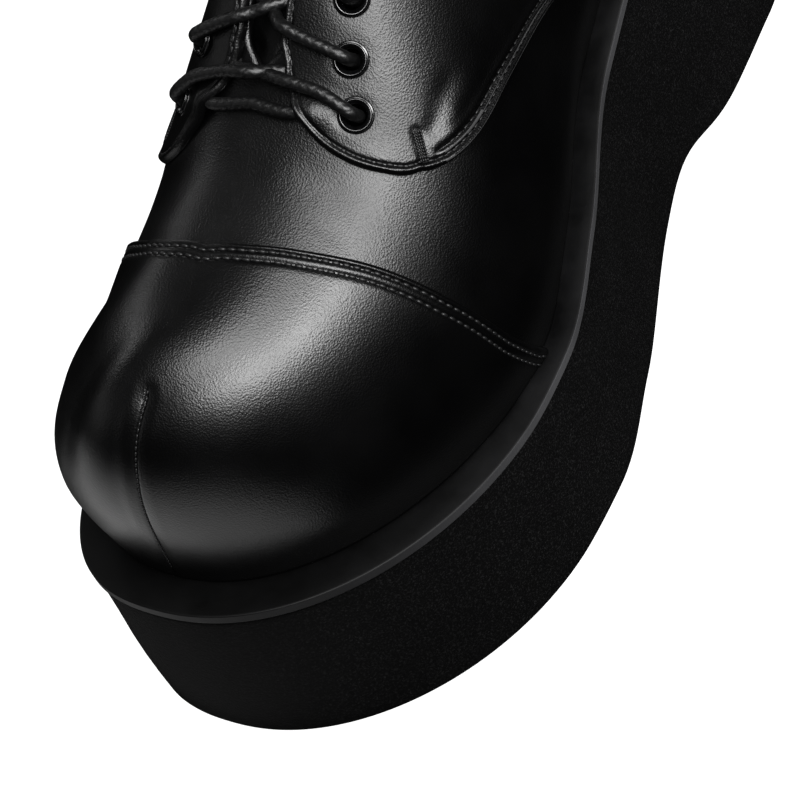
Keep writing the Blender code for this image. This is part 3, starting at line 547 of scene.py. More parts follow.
# soft creases: side, from (round, up), to (round, up), half width and depth (minus stands up)
CREASE_NAMES = ("side", "round_a", "up_a", "round_b", "up_b", "wide", "deep")
CREASES = (
    (1, 0.640, 0.92, 0.628, 0.66, 4.5, 0.30),
    (1, 0.668, 0.86, 0.655, 0.62, 2.0, 0.13),
    (1, 0.676, 0.83, 0.664, 0.66, 1.4, -0.09),
    (1, 0.682, 0.80, 0.672, 0.70, 1.2, 0.08),
    (-1, 0.650, 0.94, 0.636, 0.60, 5.0, 0.35),
    (-1, 0.672, 0.90, 0.660, 0.66, 2.2, 0.12),
    (1, 0.585, 0.47, 0.560, 0.16, 6.0, 0.45),
    (1, 0.540, 0.40, 0.520, 0.12, 7.0, -0.35),
    (-1, 0.580, 0.45, 0.560, 0.14, 6.0, 0.45),
)


def flowing(xs, ys):
    """A soft cubic through the points, level at both ends."""
    xs, ys = np.asarray(xs, float), np.asarray(ys, float)
    n, h = len(xs), np.diff(xs)
    a, b = np.zeros((n, n)), np.zeros(n)
    a[0, 0] = a[-1, -1] = 1.0
    for i in range(1, n - 1):
        a[i, i - 1], a[i, i + 1] = 1 / h[i - 1], 1 / h[i]
        a[i, i] = 2 / h[i - 1] + 2 / h[i]
        b[i] = 3 * (ys[i] - ys[i - 1]) / h[i - 1] ** 2 + 3 * (ys[i + 1] - ys[i]) / h[i] ** 2
    b[0], b[-1] = (ys[1] - ys[0]) / h[0], (ys[-1] - ys[-2]) / h[-1]
    return hermite(xs, ys, np.linalg.solve(a, b))


def column(name, make=flowing):
    i = SECTION_NAMES.index(name)
    return make([row[0] for row in SECTIONS], [row[i] for row in SECTIONS])


shape = {name: column(name) for name in ("reach", "top", "out", "belly", "turn", "full")}
shape["close"] = column("close", eased)
drawn_in = eased(DRAWN_AT, DRAWN_IN)
ridge_line = flowing((0.0, 60.0, 130.0, 170.0, 205.0, 235.0),
                     (0.0, 0.0, RIDGE_SHIFT * 0.8, RIDGE_SHIFT, RIDGE_SHIFT, RIDGE_SHIFT))


def feather_at(side, k):
    """Line where the leather meets the welt."""
    _, u = edge_at(side, k)
    return edge_inset(side, k, shelf(u))


def section_at(k):
    """Distance along the shoe of the section at k."""
    return (feather_at(1, k)[1] + feather_at(-1, k)[1]) / 2


def smooth_step(share):
    share = np.clip(share, 0, 1)
    return share * share * (3 - 2 * share)


def on_last(side, k, t):
    """Face of the last before its inner side is drawn in."""
    k, t = np.asarray(k, float), np.asarray(t, float)
    fx, fu = feather_at(side, k)
    nx, nu = edge_normal(side, k)
    at = section_at(k)
    sharp = np.sqrt(np.clip((THROAT_AT - at) / THROAT_ROUND, 0, 1))
    soft = 1 - smooth_step((at - THROAT_AT + 14.0) / 28.0)
    part = (soft + (sharp - soft) * smooth_step((t - 0.86) / 0.14)) * shape["close"](at)
    eu = at + shape["reach"](at)
    ex = ridge_line(eu) + (fx - swing(fu)) * part
    ez = shape["top"](at)
    fz = welt_top(fu) + CLEAR
    out = shape["out"](fu)
    if side < 0:
        near = np.exp(-((fu - INNER_SWELL_AT) / INNER_SWELL_SPREAD) ** 2)
        out = out + INNER_TOE_SWELL * near * np.clip((1 - k) / 0.14, 0, 1)
    belly, turn, full = shape["belly"](fu), np.radians(shape["turn"](fu)), shape["full"](fu)
    low = np.clip(t / BELLY_SHARE, 0, 1)
    a = np.clip((t - BELLY_SHARE) / (1 - BELLY_SHARE), 0, 1) * turn
    last = np.maximum(np.cos(turn), 0) ** (2 / full)
    inward = (1 - np.maximum(np.cos(a), 0) ** (2 / full)) / (1 - last)
    upward = (np.sin(a) / np.sin(turn)) ** (2 / full)
    swell = out * np.sin(low * math.pi / 2) * (1 - inward)
    x = fx + nx * swell + (ex - fx) * inward
    u = fu + nu * swell + (eu - fu) * (inward + (1 - inward) * inward ** 4)
    z = fz + belly * low + (ez - fz - belly) * upward
    return np.stack([x, u, z], -1)


def unit(v):
    return v / np.linalg.norm(v, axis=-1, keepdims=True)


def leather_at(side, k, t):
    """Outer face of the upper; t runs 0 at the welt to 1 at the collar, throat or ridge."""
    k, t = np.asarray(k, float), np.asarray(t, float)
    if side > 0:
        return on_last(side, k, t)
    nx, nu = edge_normal(side, k)
    drawn = drawn_in(section_at(k)) * smooth_step((1 - t) / 0.45) * smooth_step((t - 0.12) / 0.35)
    drawn = drawn * smooth_step((1 - k) / 0.15) * 1.06
    inward = np.stack(np.broadcast_arrays(-0.78 * nx, -0.78 * nu, -0.63), -1)
    return on_last(side, k, t) + inward * drawn[..., None]


def leather_normal(side, k, t):
    """Outward direction of the leather."""
    k = np.clip(np.asarray(k, float), 0.002, 0.998)
    t = np.clip(np.asarray(t, float), 0.01, 0.985)
    dk = leather_at(side, k + 0.001, t) - leather_at(side, k - 0.001, t)
    dt = leather_at(side, k, t + 0.01) - leather_at(side, k, t - 0.01)
    return -unit(np.cross(dt, dk) * side)


def on_leather(side, k, t, lift=0.0):
    """Points a set distance outside (or, negative, inside) the leather's outer face."""
    k, t, lift = np.broadcast_arrays(np.asarray(k, float), np.asarray(t, float), np.asarray(lift, float))
    normal = leather_normal(side, k, t)
    shut = (t >= 1) & (section_at(k) >= THROAT_AT - 0.001)
    shared = ((k <= 0) | (k >= 1) | shut)[..., None]
    normal = np.where(shared, unit(normal + leather_normal(-side, k, t)), normal)
    flat = unit(normal * (1.0, 1.0, 0.0) + (1e-9, 0.0, 0.0))
    return leather_at(side, k, t) + np.where((t <= 0)[..., None], flat, normal) * lift[..., None]


def throat_round():
    """Share of the way round at which the throat closes."""
    low, high = 0.0, 1.0
    for _ in range(40):
        mid = (low + high) / 2
        low, high = (mid, high) if float(section_at(mid)) < THROAT_AT else (low, mid)
    return high


THROAT_K = throat_round()


def distance_to(points, line):
    """Shortest distance from each point to a line of points."""
    flat = points.reshape(-1, 3)
    best = np.full(len(flat), 1e9)
    for a, b in zip(line[:-1], line[1:]):
        ab = b - a
        s = np.clip((flat - a) @ ab / max(float(ab @ ab), 1e-12), 0, 1)
        best = np.minimum(best, np.linalg.norm(flat - a - s[:, None] * ab, axis=1))
    return best.reshape(points.shape[:-1])


def creased(side, k, t, rows=CREASES, uneven=0.10):
    """Height added to the leather by its creases and by the slight unevenness of a real hide."""
    k, t = np.broadcast_arrays(np.asarray(k, float), np.asarray(t, float))
    p = leather_at(side, k, t)
    height = uneven * np.sin(p[..., 1] / 7.3 + p[..., 2] / 11.0) * np.sin(p[..., 0] / 8.1 + p[..., 2] / 6.7)
    height = height * np.clip(t / 0.15, 0, 1)
    for row in rows:
        own, ka, ta, kb, tb, wide, deep = row
        if own != side:
            continue
        s = np.linspace(0, 1, 13)
        bow = 0.006 * np.sin(math.pi * s)
        line = leather_at(side, ka + (kb - ka) * s + bow, ta + (tb - ta) * s)
        a, b = line[0], line[-1]
        along = np.clip((p - a) @ (b - a) / float((b - a) @ (b - a)), 0, 1)
        fade = np.sin(math.pi * along) ** 2
        fade = fade * np.clip((1 - t) / 0.04, 0, 1) * np.clip((1 - k) / 0.02, 0, 1)
        height = height - deep * fade * np.exp(-(distance_to(p, line) / wide) ** 2)
    return height


def grid_faces(start, rows, cols):
    """Faces of a grid of points laid out row by row."""
    a = start + (np.arange(rows - 1)[:, None] * cols + np.arange(cols - 1)).ravel()
    return np.stack([a, a + 1, a + cols + 1, a + cols], -1).tolist()


def leather_finish(name, grain, gloss, wrinkle, black=LEATHER_BLACK, pale_end=LEATHER_WORN):
    """Black leather with a fine tight grain, faint wrinkles and uneven polish."""
    mat, shader, add, join = finish_tree(name)
    place = add("ShaderNodeTexCoord")
    pebble = add("ShaderNodeTexVoronoi", feature="SMOOTH_F1", Scale=2300.0, Smoothness=0.35)
    pores = add("ShaderNodeTexNoise", Scale=3300.0, Detail=2.0, Roughness=0.6)
    lines = add("ShaderNodeTexNoise", Scale=95.0, Detail=1.5, Roughness=0.5, Distortion=0.7)
    broad = add("ShaderNodeTexNoise", Scale=38.0, Detail=3.0, Roughness=0.5)
    stretch = add("ShaderNodeMapping")
    stretch.inputs["Scale"].default_value = (1.0, 0.45, 1.0)
    polish = add("ShaderNodeMapRange")
    polish.inputs["From Min"].default_value = 0.3
    polish.inputs["From Max"].default_value = 0.7
    polish.inputs["To Min"].default_value = gloss - 0.04
    polish.inputs["To Max"].default_value = gloss + 0.06
    tint = ramp_between(add, 0.35, 0.7, black, pale_end)
    fine = add("ShaderNodeBump", Strength=grain, Distance=0.00010)
    skin = add("ShaderNodeBump", Strength=wrinkle, Distance=0.0003)
    mixed = add("ShaderNodeMath", operation="MULTIPLY_ADD")
    mixed.inputs[1].default_value = 0.5
    for tex in (pebble, pores, broad):
        join(place, "Object", tex, "Vector")
    join(place, "Object", stretch, "Vector")
    join(stretch, "Vector", lines, "Vector")
    join(broad, "Fac", polish, "Value")
    join(polish, "Result", shader, "Roughness")
    join(broad, "Fac", tint, "Fac")
    join(tint, "Color", shader, "Base Color")
    join(pores, "Fac", mixed, 0)
    join(pebble, "Distance", mixed, 2)
    join(lines, "Fac", skin, "Height")
    join(mixed, "Value", fine, "Height")
    join(skin, "Normal", fine, "Normal")
    join(fine, "Normal", shader, "Normal")
    return mat


def lining_finish():
    """Smooth, dull lining leather inside the shoe."""
    mat, shader, add, join = finish_tree("lining_leather")
    place = add("ShaderNodeTexCoord")
    nap = add("ShaderNodeTexNoise", Scale=900.0, Detail=4.0, Roughness=0.7)
    tint = ramp_between(add, 0.3, 0.75, (0.016, 0.0155, 0.015), (0.03, 0.029, 0.028))
    bump = add("ShaderNodeBump", Strength=0.2, Distance=0.0002)
    join(place, "Object", nap, "Vector")
    join(nap, "Fac", tint, "Fac")
    join(tint, "Color", shader, "Base Color")
    join(nap, "Fac", bump, "Height")
    join(bump, "Normal", shader, "Normal")
    shader.inputs["Roughness"].default_value = 0.72
    return mat


def upper_rounds():
    """Sections of the leather, closer at the front of the throat and round the toe."""
    back = np.linspace(0, THROAT_K - 0.028, 74)
    throat = THROAT_K - np.array([0.024, 0.02, 0.016, 0.013, 0.010, 0.007, 0.0045, 0.002, 0.0008])
    front = np.linspace(THROAT_K, 1, 66)
    return np.concatenate([back, throat, front])


def up_shares(count):
    low = np.linspace(0, BELLY_SHARE, count // 4)
    return np.concatenate([low, np.linspace(BELLY_SHARE, 1, count - count // 4 + 1)[1:]])


def build_upper(skin, lining):
    """Outer face, inner face and the two edges between them, as one closed wall."""
    ks, ts = upper_rounds(), up_shares(52)
    rows, cols = len(ks), len(ts)
    grid_k, grid_t = np.meshgrid(ks, ts, indexing="ij")
    points, faces, slots = [], [], []
    for side in (1, -1):
        outer = sum(len(p) for p in points)
        inner = outer + rows * cols
        points.append(on_leather(side, grid_k, grid_t, creased(side, grid_k, grid_t)).reshape(-1, 3))
        points.append(on_leather(side, grid_k, grid_t, -WALL).reshape(-1, 3))
        for start, slot in ((outer, 0), (inner, 1)):
            found = grid_faces(start, rows, cols)
            faces += found
            slots += [slot] * len(found)
        for i in range(rows - 1):
            a, b = i * cols, (i + 1) * cols
            rims = [0]
            if section_at(ks[i]) < THROAT_AT - 0.001:
                rims.append(cols - 1)
            for c in rims:
                faces.append((outer + a + c, outer + b + c, inner + b + c, inner + a + c))
                slots.append(0)
    return piece("leather_upper", np.concatenate(points), faces, skin, lining, slots=slots)


# places of the lace holes: share of the way round, and distance down from the throat edge
HOLE_ROUND = (0.593, 0.560, 0.528, 0.497, 0.466)
HOLE_DOWN = {1: (24.0, 16.3, 14.3, 14.3, 14.3), -1: (24.8, 13.6, 12.0, 12.0, 12.0)}
HOLE_RADIUS = 2.62


def down_from_edge(side, k, distance):
    """Share up the section at a distance down from its top edge."""
    ts = np.linspace(0, 1, 81)
    line = leather_at(side, np.full_like(ts, k), ts)
    run = np.concatenate([[0], np.cumsum(np.linalg.norm(np.diff(line, axis=0), axis=1))])
    return float(np.interp(run[-1] - distance, run, ts))


def hole_place(side, row):
    """Share round, share up and outward direction of one lace hole."""
    k = HOLE_ROUND[row]
    t = down_from_edge(side, k, HOLE_DOWN[side][row])
    return k, t, leather_normal(side, k, t)


def cross_axes(normal):
    across = unit(np.cross(normal, (0.0, 0.0, 1.0)))
    return across, np.cross(normal, across)


def punch(name, sides=(1, -1)):
    """Round pins where the lace holes are punched, all in one cutter."""
    points, faces = [], []
    for side in sides:
        for row in range(len(HOLE_ROUND)):
            k, t, normal = hole_place(side, row)
            a, b = cross_axes(normal)
            start = len(points)
            for lift in (-4.5, 4.5):
                for i in range(20):
                    ang = 2 * math.pi * i / 20
                    spoke = (a * math.cos(ang) + b * math.sin(ang)) * HOLE_RADIUS
                    points.append(on_leather(side, k, t, lift) + spoke)
            faces += [(start + i, start + (i + 1) % 20, start + 20 + (i + 1) % 20, start + 20 + i)
                      for i in range(20)]
            faces += [tuple(start + i for i in range(20))[::-1], tuple(start + 20 + i for i in range(20))]
    return piece(name, points, faces)


vamp_leather = leather_finish("black_leather_vamp", 0.55, 0.36, 0.05)
lining = lining_finish()
upper = cut_away(build_upper(vamp_leather, lining), punch("hole_punch"))
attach(upper, "root")
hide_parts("upper")

# ---- Stitching
# Waxed thread sewn in short lockstitches. Each row lies in a shallow groove that the thread
# pulls into the leather, so a row is laid along a line on the finished surface.
THREAD_BLACK = (0.003, 0.003, 0.0032)


def thread_finish():
    """Waxed thread, with the twist of its plies."""
    mat, shader, add, join = finish_tree("waxed_thread")
    place = add("ShaderNodeTexCoord")
    twist = add("ShaderNodeTexNoise", Scale=2600.0, Detail=2.0)
    tint = ramp_between(add, 0.35, 0.7, THREAD_BLACK, (0.008, 0.008, 0.0083))
    bump = add("ShaderNodeBump", Strength=0.4, Distance=0.0001)
    join(place, "Object", twist, "Vector")
    join(twist, "Fac", tint, "Fac")
    join(tint, "Color", shader, "Base Color")
    join(twist, "Fac", bump, "Height")
    join(bump, "Normal", shader, "Normal")
    shader.inputs["Roughness"].default_value = 0.5
    return mat


def stitch_tree():
    """Lays a short rounded stitch at every pitch along each line."""
    tree = bpy.data.node_groups.new("sewn_row", "GeometryNodeTree")
    face = tree.interface
    face.new_socket("Geometry", in_out="INPUT", socket_type="NodeSocketGeometry")
    for name, value in (("Pitch", 0.0024), ("Stitch Length", 0.0019), ("Thread Radius", 0.00035)):
        socket = face.new_socket(name, in_out="INPUT", socket_type="NodeSocketFloat")
        socket.default_value = value
    face.new_socket("Thread", in_out="INPUT", socket_type="NodeSocketMaterial")
    face.new_socket("Geometry", in_out="OUTPUT", socket_type="NodeSocketGeometry")
    new, tie = tree.nodes.new, tree.links.new
    given, made = new("NodeGroupInput"), new("NodeGroupOutput")
    spaced = new("GeometryNodeResampleCurve")
    spaced.mode = "LENGTH"
    tangent, turned = new("GeometryNodeInputTangent"), new("FunctionNodeAlignRotationToVector")
    turned.axis = "X"
    bead = new("GeometryNodeMeshUVSphere")
    bead.inputs["Segments"].default_value = 8
    bead.inputs["Rings"].default_value = 5
    bead.inputs["Radius"].default_value = 1.0
    half = new("ShaderNodeMath")
    half.operation = "MULTIPLY"
    half.inputs[1].default_value = 0.5
    size, shaped = new("ShaderNodeCombineXYZ"), new("GeometryNodeTransform")
    upright = new("GeometryNodeTransform")
    upright.inputs["Rotation"].default_value = (0.0, math.pi / 2, 0.0)
    laid, solid, coat = (new("GeometryNodeInstanceOnPoints"), new("GeometryNodeRealizeInstances"),
                         new("GeometryNodeSetMaterial"))
    tie(given.outputs["Geometry"], spaced.inputs["Curve"])
    tie(given.outputs["Pitch"], spaced.inputs["Length"])
    tie(given.outputs["Stitch Length"], half.inputs[0])
    tie(half.outputs[0], size.inputs["X"])
    tie(given.outputs["Thread Radius"], size.inputs["Y"])
    tie(given.outputs["Thread Radius"], size.inputs["Z"])
    tie(bead.outputs["Mesh"], upright.inputs["Geometry"])
    tie(upright.outputs["Geometry"], shaped.inputs["Geometry"])
    tie(size.outputs["Vector"], shaped.inputs["Scale"])
    tie(tangent.outputs["Tangent"], turned.inputs["Vector"])
    tie(spaced.outputs["Curve"], laid.inputs["Points"])
    tie(shaped.outputs["Geometry"], laid.inputs["Instance"])
    tie(turned.outputs["Rotation"], laid.inputs["Rotation"])
    tie(laid.outputs["Instances"], solid.inputs["Geometry"])
    tie(solid.outputs["Geometry"], coat.inputs["Geometry"])
    tie(given.outputs["Thread"], coat.inputs["Material"])
    tie(coat.outputs["Geometry"], made.inputs["Geometry"])
    return tree


sewn_row = stitch_tree()
thread = thread_finish()


def sewn(name, lines, pitch=2.4, length=1.95, radius=0.34):
    """Stitches along each line of points, as one plain mesh."""
    curve = bpy.data.curves.new(name, "CURVE")
    curve.dimensions = "3D"
    for line in lines:
        run = curve.splines.new("POLY")
        run.points.add(len(line) - 1)
        for point, (x, u, z) in zip(run.points, line):
            point.co = (x / 1000, (LENGTH / 2 - u) / 1000, z / 1000, 1)
    obj = link(bpy.data.objects.new(name, curve))
    rule = obj.modifiers.new("sewn_row", "NODES")
    rule.node_group = sewn_row
    values = {"Pitch": pitch / 1000, "Stitch Length": length / 1000, "Thread Radius": radius / 1000,
              "Thread": thread}
    for item in sewn_row.interface.items_tree:
        if item.in_out == "INPUT" and item.name in values:
            rule[item.identifier] = values[item.name]
    plain = made_plain(obj)
    for poly in plain.data.polygons:
        poly.use_smooth = True
    return plain


def inward_from(side, ks, ts, distance, lift, toward):
    """The line moved across the leather toward a place on it, then out by a lift."""
    ks, ts = np.asarray(ks, float).copy(), np.asarray(ts, float).copy()
    line = leather_at(side, ks, ts)
    normal = leather_normal(side, ks, ts)
    across = unit(np.cross(normal, np.gradient(line, axis=0)))
    half = len(ks) // 2
    if float(across[half] @ (leather_at(side, *toward) - line[half])) < 0:
        across = -across
    left = across * distance
    for _ in range(3):
        d = 1e-3
        pk = (leather_at(side, ks + d, ts) - leather_at(side, ks - d, ts)) / (2 * d)
        pt = (leather_at(side, ks, ts + d) - leather_at(side, ks, ts - d)) / (2 * d)
        aa, bb, ab = (pk * pk).sum(-1), (pt * pt).sum(-1), (pk * pt).sum(-1)
        ra, rb = (pk * left).sum(-1), (pt * left).sum(-1)
        size = np.maximum(aa * bb - ab * ab, 1e-9)
        ks = np.clip(ks + (ra * bb - rb * ab) / size, 0.0, 1.0)
        ts = np.clip(ts + (rb * aa - ra * ab) / size, 0.0, 1.0)
        left = line + across * distance - leather_at(side, ks, ts)
    return ks, ts, on_leather(side, ks, ts, lift + creased(side, ks, ts))


# ---- Toe cap
# A second layer of leather over the toe. Its back edge is folded under and held with two rows
# of stitching, and a short puckered seam down the front takes up the fullness of the round toe.
UNDERLAP = 0.12
CAP_RISE = 1.55
CAP_UP = (0.0, 0.2, 0.4, 0.6, 0.8, 0.92, 1.0)
CAP_ROUND = {1: (0.600, 0.619, 0.637, 0.660, 0.699, 0.730, 0.750),
             -1: (0.612, 0.630, 0.650, 0.676, 0.713, 0.738, 0.750)}
CAP_ROWS = (1.75, 3.9)
cap_edge = {side: eased(CAP_UP, CAP_ROUND[side]) for side in (1, -1)}
# front seam: share up, share round, depth of the pull, and how far it spreads
SEAM_NAMES = ("up", "round", "deep", "spread")
TOE_SEAM = (
    (0.738, 0.9560, 0.70, 2.4),
    (0.712, 0.9570, 0.95, 2.3),
    (0.670, 0.9605, 0.70, 2.0),
    (0.555, 0.9680, 0.45, 1.5),
    (0.425, 0.9725, 0.40, 1.3),
    (0.335, 0.9760, 0.36, 1.2),
    (0.215, 0.9805, 0.34, 1.1),
    (0.135, 0.9860, 0.33, 1.1),
    (0.020, 0.9965, 0.32, 1.1),
)


def turned_edge(distance, rise, rows):
    """Height of a folded layer by the distance in from its edge, pulled down at each sewn row."""
    fold = np.clip(distance / 1.15, 0, 1)
    height = UNDERLAP + 0.1 + (rise - UNDERLAP - 0.1) * np.sqrt(1 - (1 - fold) ** 2)
    height = height + 0.22 * np.exp(-((distance - 0.9) / 0.6) ** 2)
    for at in rows:
        height = height - 0.42 * np.exp(-((distance - at) / 0.5) ** 2)
    return height


seam_round, seam_deep, seam_spread = (eased([row[0] for row in TOE_SEAM[::-1]],
                                            [row[column] for row in TOE_SEAM[::-1]])
                                      for column in (1, 2, 3))
SEAM_UPS = np.linspace(TOE_SEAM[0][0], TOE_SEAM[-1][0], 44)
SEAM_POINTS = leather_at(1, seam_round(SEAM_UPS), SEAM_UPS)
SEAM_SLOT = 0.30


def puckered(points):
    """Depth that the front seam pulls into the cap at each point."""
    flat = points.reshape(-1, 3)
    near = np.linalg.norm(flat[:, None] - SEAM_POINTS[None], axis=2).argmin(axis=1)
    distance = distance_to(flat, SEAM_POINTS)
    pull = seam_deep(SEAM_UPS[near]) * np.exp(-distance / seam_spread(SEAM_UPS[near]))
    lip = 0.10 * np.exp(-((distance - 2.8) / 1.4) ** 2)
    slot = SEAM_SLOT * np.exp(-(distance / 0.42) ** 2)
    return (lip - pull - slot).reshape(points.shape[:-1])


def build_toe_cap(mat):
    ts = up_shares(84)
    steps = np.array([0, .06, .18, .36, .6, .85, 1.1, 1.35, 1.6, 1.85, 2.15, 2.5, 2.9, 3.25, 3.55,
                      3.85, 4.15, 4.5, 5.0, 5.8, 7.0])
    share = np.linspace(0, 1, 40)[1:]
    front = np.repeat(np.linspace(0.93, 1.0, 66)[1:, None], len(ts), 1)
    points, faces = [], []
    for side in (1, -1):
        edge = cap_edge[side](ts)
        other = cap_edge[-side](ts)
        ahead = leather_at(side, edge + 1e-3, ts) - leather_at(side, edge - 1e-3, ts)
        near = edge[None] + steps[:, None] * 2e-3 / np.linalg.norm(ahead, axis=-1)[None]
        middle = near[-1][None] + (0.93 - near[-1][None]) * share[:, None]
        grid_k = np.concatenate([near, middle, front])
        grid_t = np.repeat(ts[None], len(grid_k), 0)
        rows, cols = grid_k.shape
        outer = sum(len(p) for p in points)
        inner = outer + rows * cols
        base = leather_at(side, grid_k, grid_t)
        relief = creased(side, grid_k, grid_t)
        line = leather_at(side, edge, ts)
        away = distance_to(base, line)
        away = np.minimum(away, distance_to(base, leather_at(-side, other[-12:], ts[-12:])))
        away[0] = 0.0
        top = relief + turned_edge(away, CAP_RISE, CAP_ROWS) + puckered(base)
        points.append(on_leather(side, grid_k, grid_t, top).reshape(-1, 3))
        points.append(on_leather(side, grid_k, grid_t, np.minimum(relief + UNDERLAP, top - 0.05)).reshape(-1, 3))
        faces += grid_faces(outer, rows, cols) + grid_faces(inner, rows, cols)
        faces += [(outer + i * cols, outer + (i + 1) * cols, inner + (i + 1) * cols, inner + i * cols)
                  for i in range(rows - 1)]
        faces += [(outer + c, outer + c + 1, inner + c + 1, inner + c) for c in range(cols - 1)]
    return piece("leather_toe_cap", np.concatenate(points), faces, mat)


def cap_stitches():
    """Two rows along the folded edge."""
    lines = []
    ts = np.linspace(0.015, 0.999, 90)
    for at in CAP_ROWS:
        both = []
        for side in (1, -1):
            _, _, line = inward_from(side, cap_edge[side](ts), ts, at, CAP_RISE - 0.30, (0.9, 0.5))
            both.append(line)
        lines.append(np.concatenate([both[0], both[1][::-1]]))
    return sewn("cap_stitching", lines, pitch=2.3, length=1.85, radius=0.46)


def seam_stitches():
    """Small close stitches that draw the two halves of the toe together."""
    ups = np.linspace(TOE_SEAM[0][0], 0.04, 70)
    height = CAP_RISE - seam_deep(ups) - SEAM_SLOT + 0.22
    line = on_leather(1, seam_round(ups), ups, height + creased(1, seam_round(ups), ups))
    return sewn("toe_seam_stitching", [line], pitch=1.4, length=1.05, radius=0.26)


cap_leather = leather_finish("black_leather_cap", 0.42, 0.34, 0.04)
toe_cap = build_toe_cap(cap_leather)
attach(toe_cap, "root")
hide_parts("toe_cap")
for row in (cap_stitches(), seam_stitches()):
    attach(row, "root")

# ---- Quarters
# Two side panels laid over the vamp and closed together at the heel. The front edge of each is
# turned under and sewn down, with a second row behind the tack that takes the pull of the lace.
EDGE_NAMES = ("round", "up")
FRONT_EDGE = ((0.0, 0.0), (0.10, 0.0), (0.20, 0.0), (0.245, 0.0), (0.275, 0.07), (0.31, 0.17),
              (0.35, 0.26), (0.42, 0.35), (0.48, 0.42), (0.54, 0.49))
OUTER_TAB = ((0.570, 0.535), (0.584, 0.560), (0.598, 0.596), (0.606, 0.635), (0.611, 0.675),
             (0.6155, 0.720), (0.618, 0.762), (0.6185, 0.785))
INNER_TAB = ((0.570, 0.500), (0.592, 0.510), (0.604, 0.524), (0.610, 0.548), (0.617, 0.600),
             (0.6225, 0.660), (0.6243, 0.700))
OUTER_FACING = ((0.0, 1.0), (0.2, 1.0), (0.564, 1.0), (0.580, 0.957), (0.594, 0.930), (0.605, 0.905),
                (0.611, 0.880), (0.6155, 0.850), (0.618, 0.817), (0.6185, 0.800))
INNER_FACING = ((0.0, 1.0), (0.2, 1.0), (0.560, 1.0), (0.572, 0.981), (0.581, 0.953),
                (0.590, 0.927), (0.600, 0.905), (0.609, 0.856), (0.616, 0.822), (0.620, 0.785),
                (0.6235, 0.745), (0.6243, 0.720))
span_low = {1: eased(*zip(*(FRONT_EDGE + OUTER_TAB))), -1: eased(*zip(*(FRONT_EDGE + INNER_TAB)))}
span_high = {1: eased(*zip(*OUTER_FACING)), -1: eased(*zip(*INNER_FACING))}
tab_end = {1: OUTER_TAB[-1][0], -1: INNER_TAB[-1][0]}
TAB_FROM = 0.56
BACK_SEAM = 0.0006
QUARTER_RISE = 1.85
# painted highlight: pale leather tones laid on the folded edge and the ridge between the rows
HIGHLIGHT_PAINT_DARK, HIGHLIGHT_PAINT_PALE = (0.035, 0.035, 0.0355), (0.080, 0.080, 0.081)
EDGE_ROW, SECOND_ROW = 1.9, 3.6
TACKS = {1: ((0.5785, 0.640), (0.5925, 0.607)), -1: ((0.590, 0.630), (0.604, 0.597))}
TACK_HALF = 0.75
SECOND_FROM = {1: 0.5835, -1: 0.596}
QUARTER_FOLDS = (
    (1, 0.590, 0.640, 0.548, 0.600, 1.8, 0.40),
    (1, 0.578, 0.600, 0.535, 0.560, 2.4, -0.50),
    (1, 0.572, 0.640, 0.520, 0.585, 2.2, 0.32),
    (1, 0.566, 0.575, 0.490, 0.465, 2.2, 0.38),
    (1, 0.560, 0.610, 0.505, 0.520, 2.6, -0.28),
    (1, 0.470, 0.900, 0.380, 0.620, 6.0, 0.30),
    (-1, 0.600, 0.630, 0.555, 0.585, 2.0, 0.40),
    (-1, 0.566, 0.575, 0.500, 0.470, 2.2, 0.36),
    (1, 0.150, 0.55, 0.060, 0.42, 7.0, 0.40),
    (-1, 0.150, 0.55, 0.060, 0.42, 7.0, 0.40),
)
EDGE_STEPS = np.array([0, .05, .15, .32, .55, .8, 1.05, 1.3, 1.5, 1.7, 1.9, 2.1, 2.35, 2.65, 2.95,
                       3.2, 3.4, 3.6, 3.8, 4.05, 4.4, 4.9, 5.5, 6.2, 7.2])


def lower_edge(side, start, count):
    """Front edge from a share round, along the vamp to the tip of the tab."""
    ks = tab_end[side] - (tab_end[side] - start) * np.linspace(1, 0, count) ** 1.7
    return ks, span_low[side](ks)


def upper_edge(side, start, count):
    """Facing and collar edge, from a share round forward to the tip of the tab."""
    ks = tab_end[side] - (tab_end[side] - start) * np.linspace(1, 0, count) ** 1.7
    return ks, span_high[side](ks)


def free_edges(side):
    """Outline of the panel wherever its edge shows, as one line from the welt to the heel."""
    ka, ta = lower_edge(side, 0.245, 90)
    kb, tb = upper_edge(side, 0.0, 130)
    tip = np.linspace(ta[-1], tb[-1], 8)[1:-1]
    ks = np.concatenate([ka, np.full(6, ka[-1]), kb[::-1]])
    ts = np.concatenate([ta, tip, tb[::-1]])
    return leather_at(side, ks, ts)


def second_row_line(side):
    ks, ts = lower_edge(side, 0.245, 90)
    keep = ks < SECOND_FROM[side]
    return leather_at(side, ks[keep], ts[keep])


BAR_ROUND, BAR_UP = {1: 0.6095, -1: 0.6095}, {1: 0.92, -1: 0.885}
BAR_BULGE, BULGE_HALF = 1.75, 3.6


def bar_run(side):
    """Line of the first bar over the vamp, from the middle of the throat to its eyelet."""
    k, t, _ = hole_place(side, 0)
    start = leather_at(side, BAR_ROUND[side], 1.0)
    edge = leather_at(side, BAR_ROUND[side], BAR_UP[side])
    return np.array([start, edge, leather_at(side, k, t)])


def stood_off(side, points):
    """How far the tab stands off the vamp over the lace that runs beneath it."""
    _, edge, hole = bar_run(side)
    away = distance_to(points, np.array([edge, hole]))
    at_hole = np.linalg.norm(points - hole, axis=-1)
    return BAR_BULGE * np.exp(-(away / BULGE_HALF) ** 2) * np.clip((at_hole - 2.0) / 7.0, 0, 1)


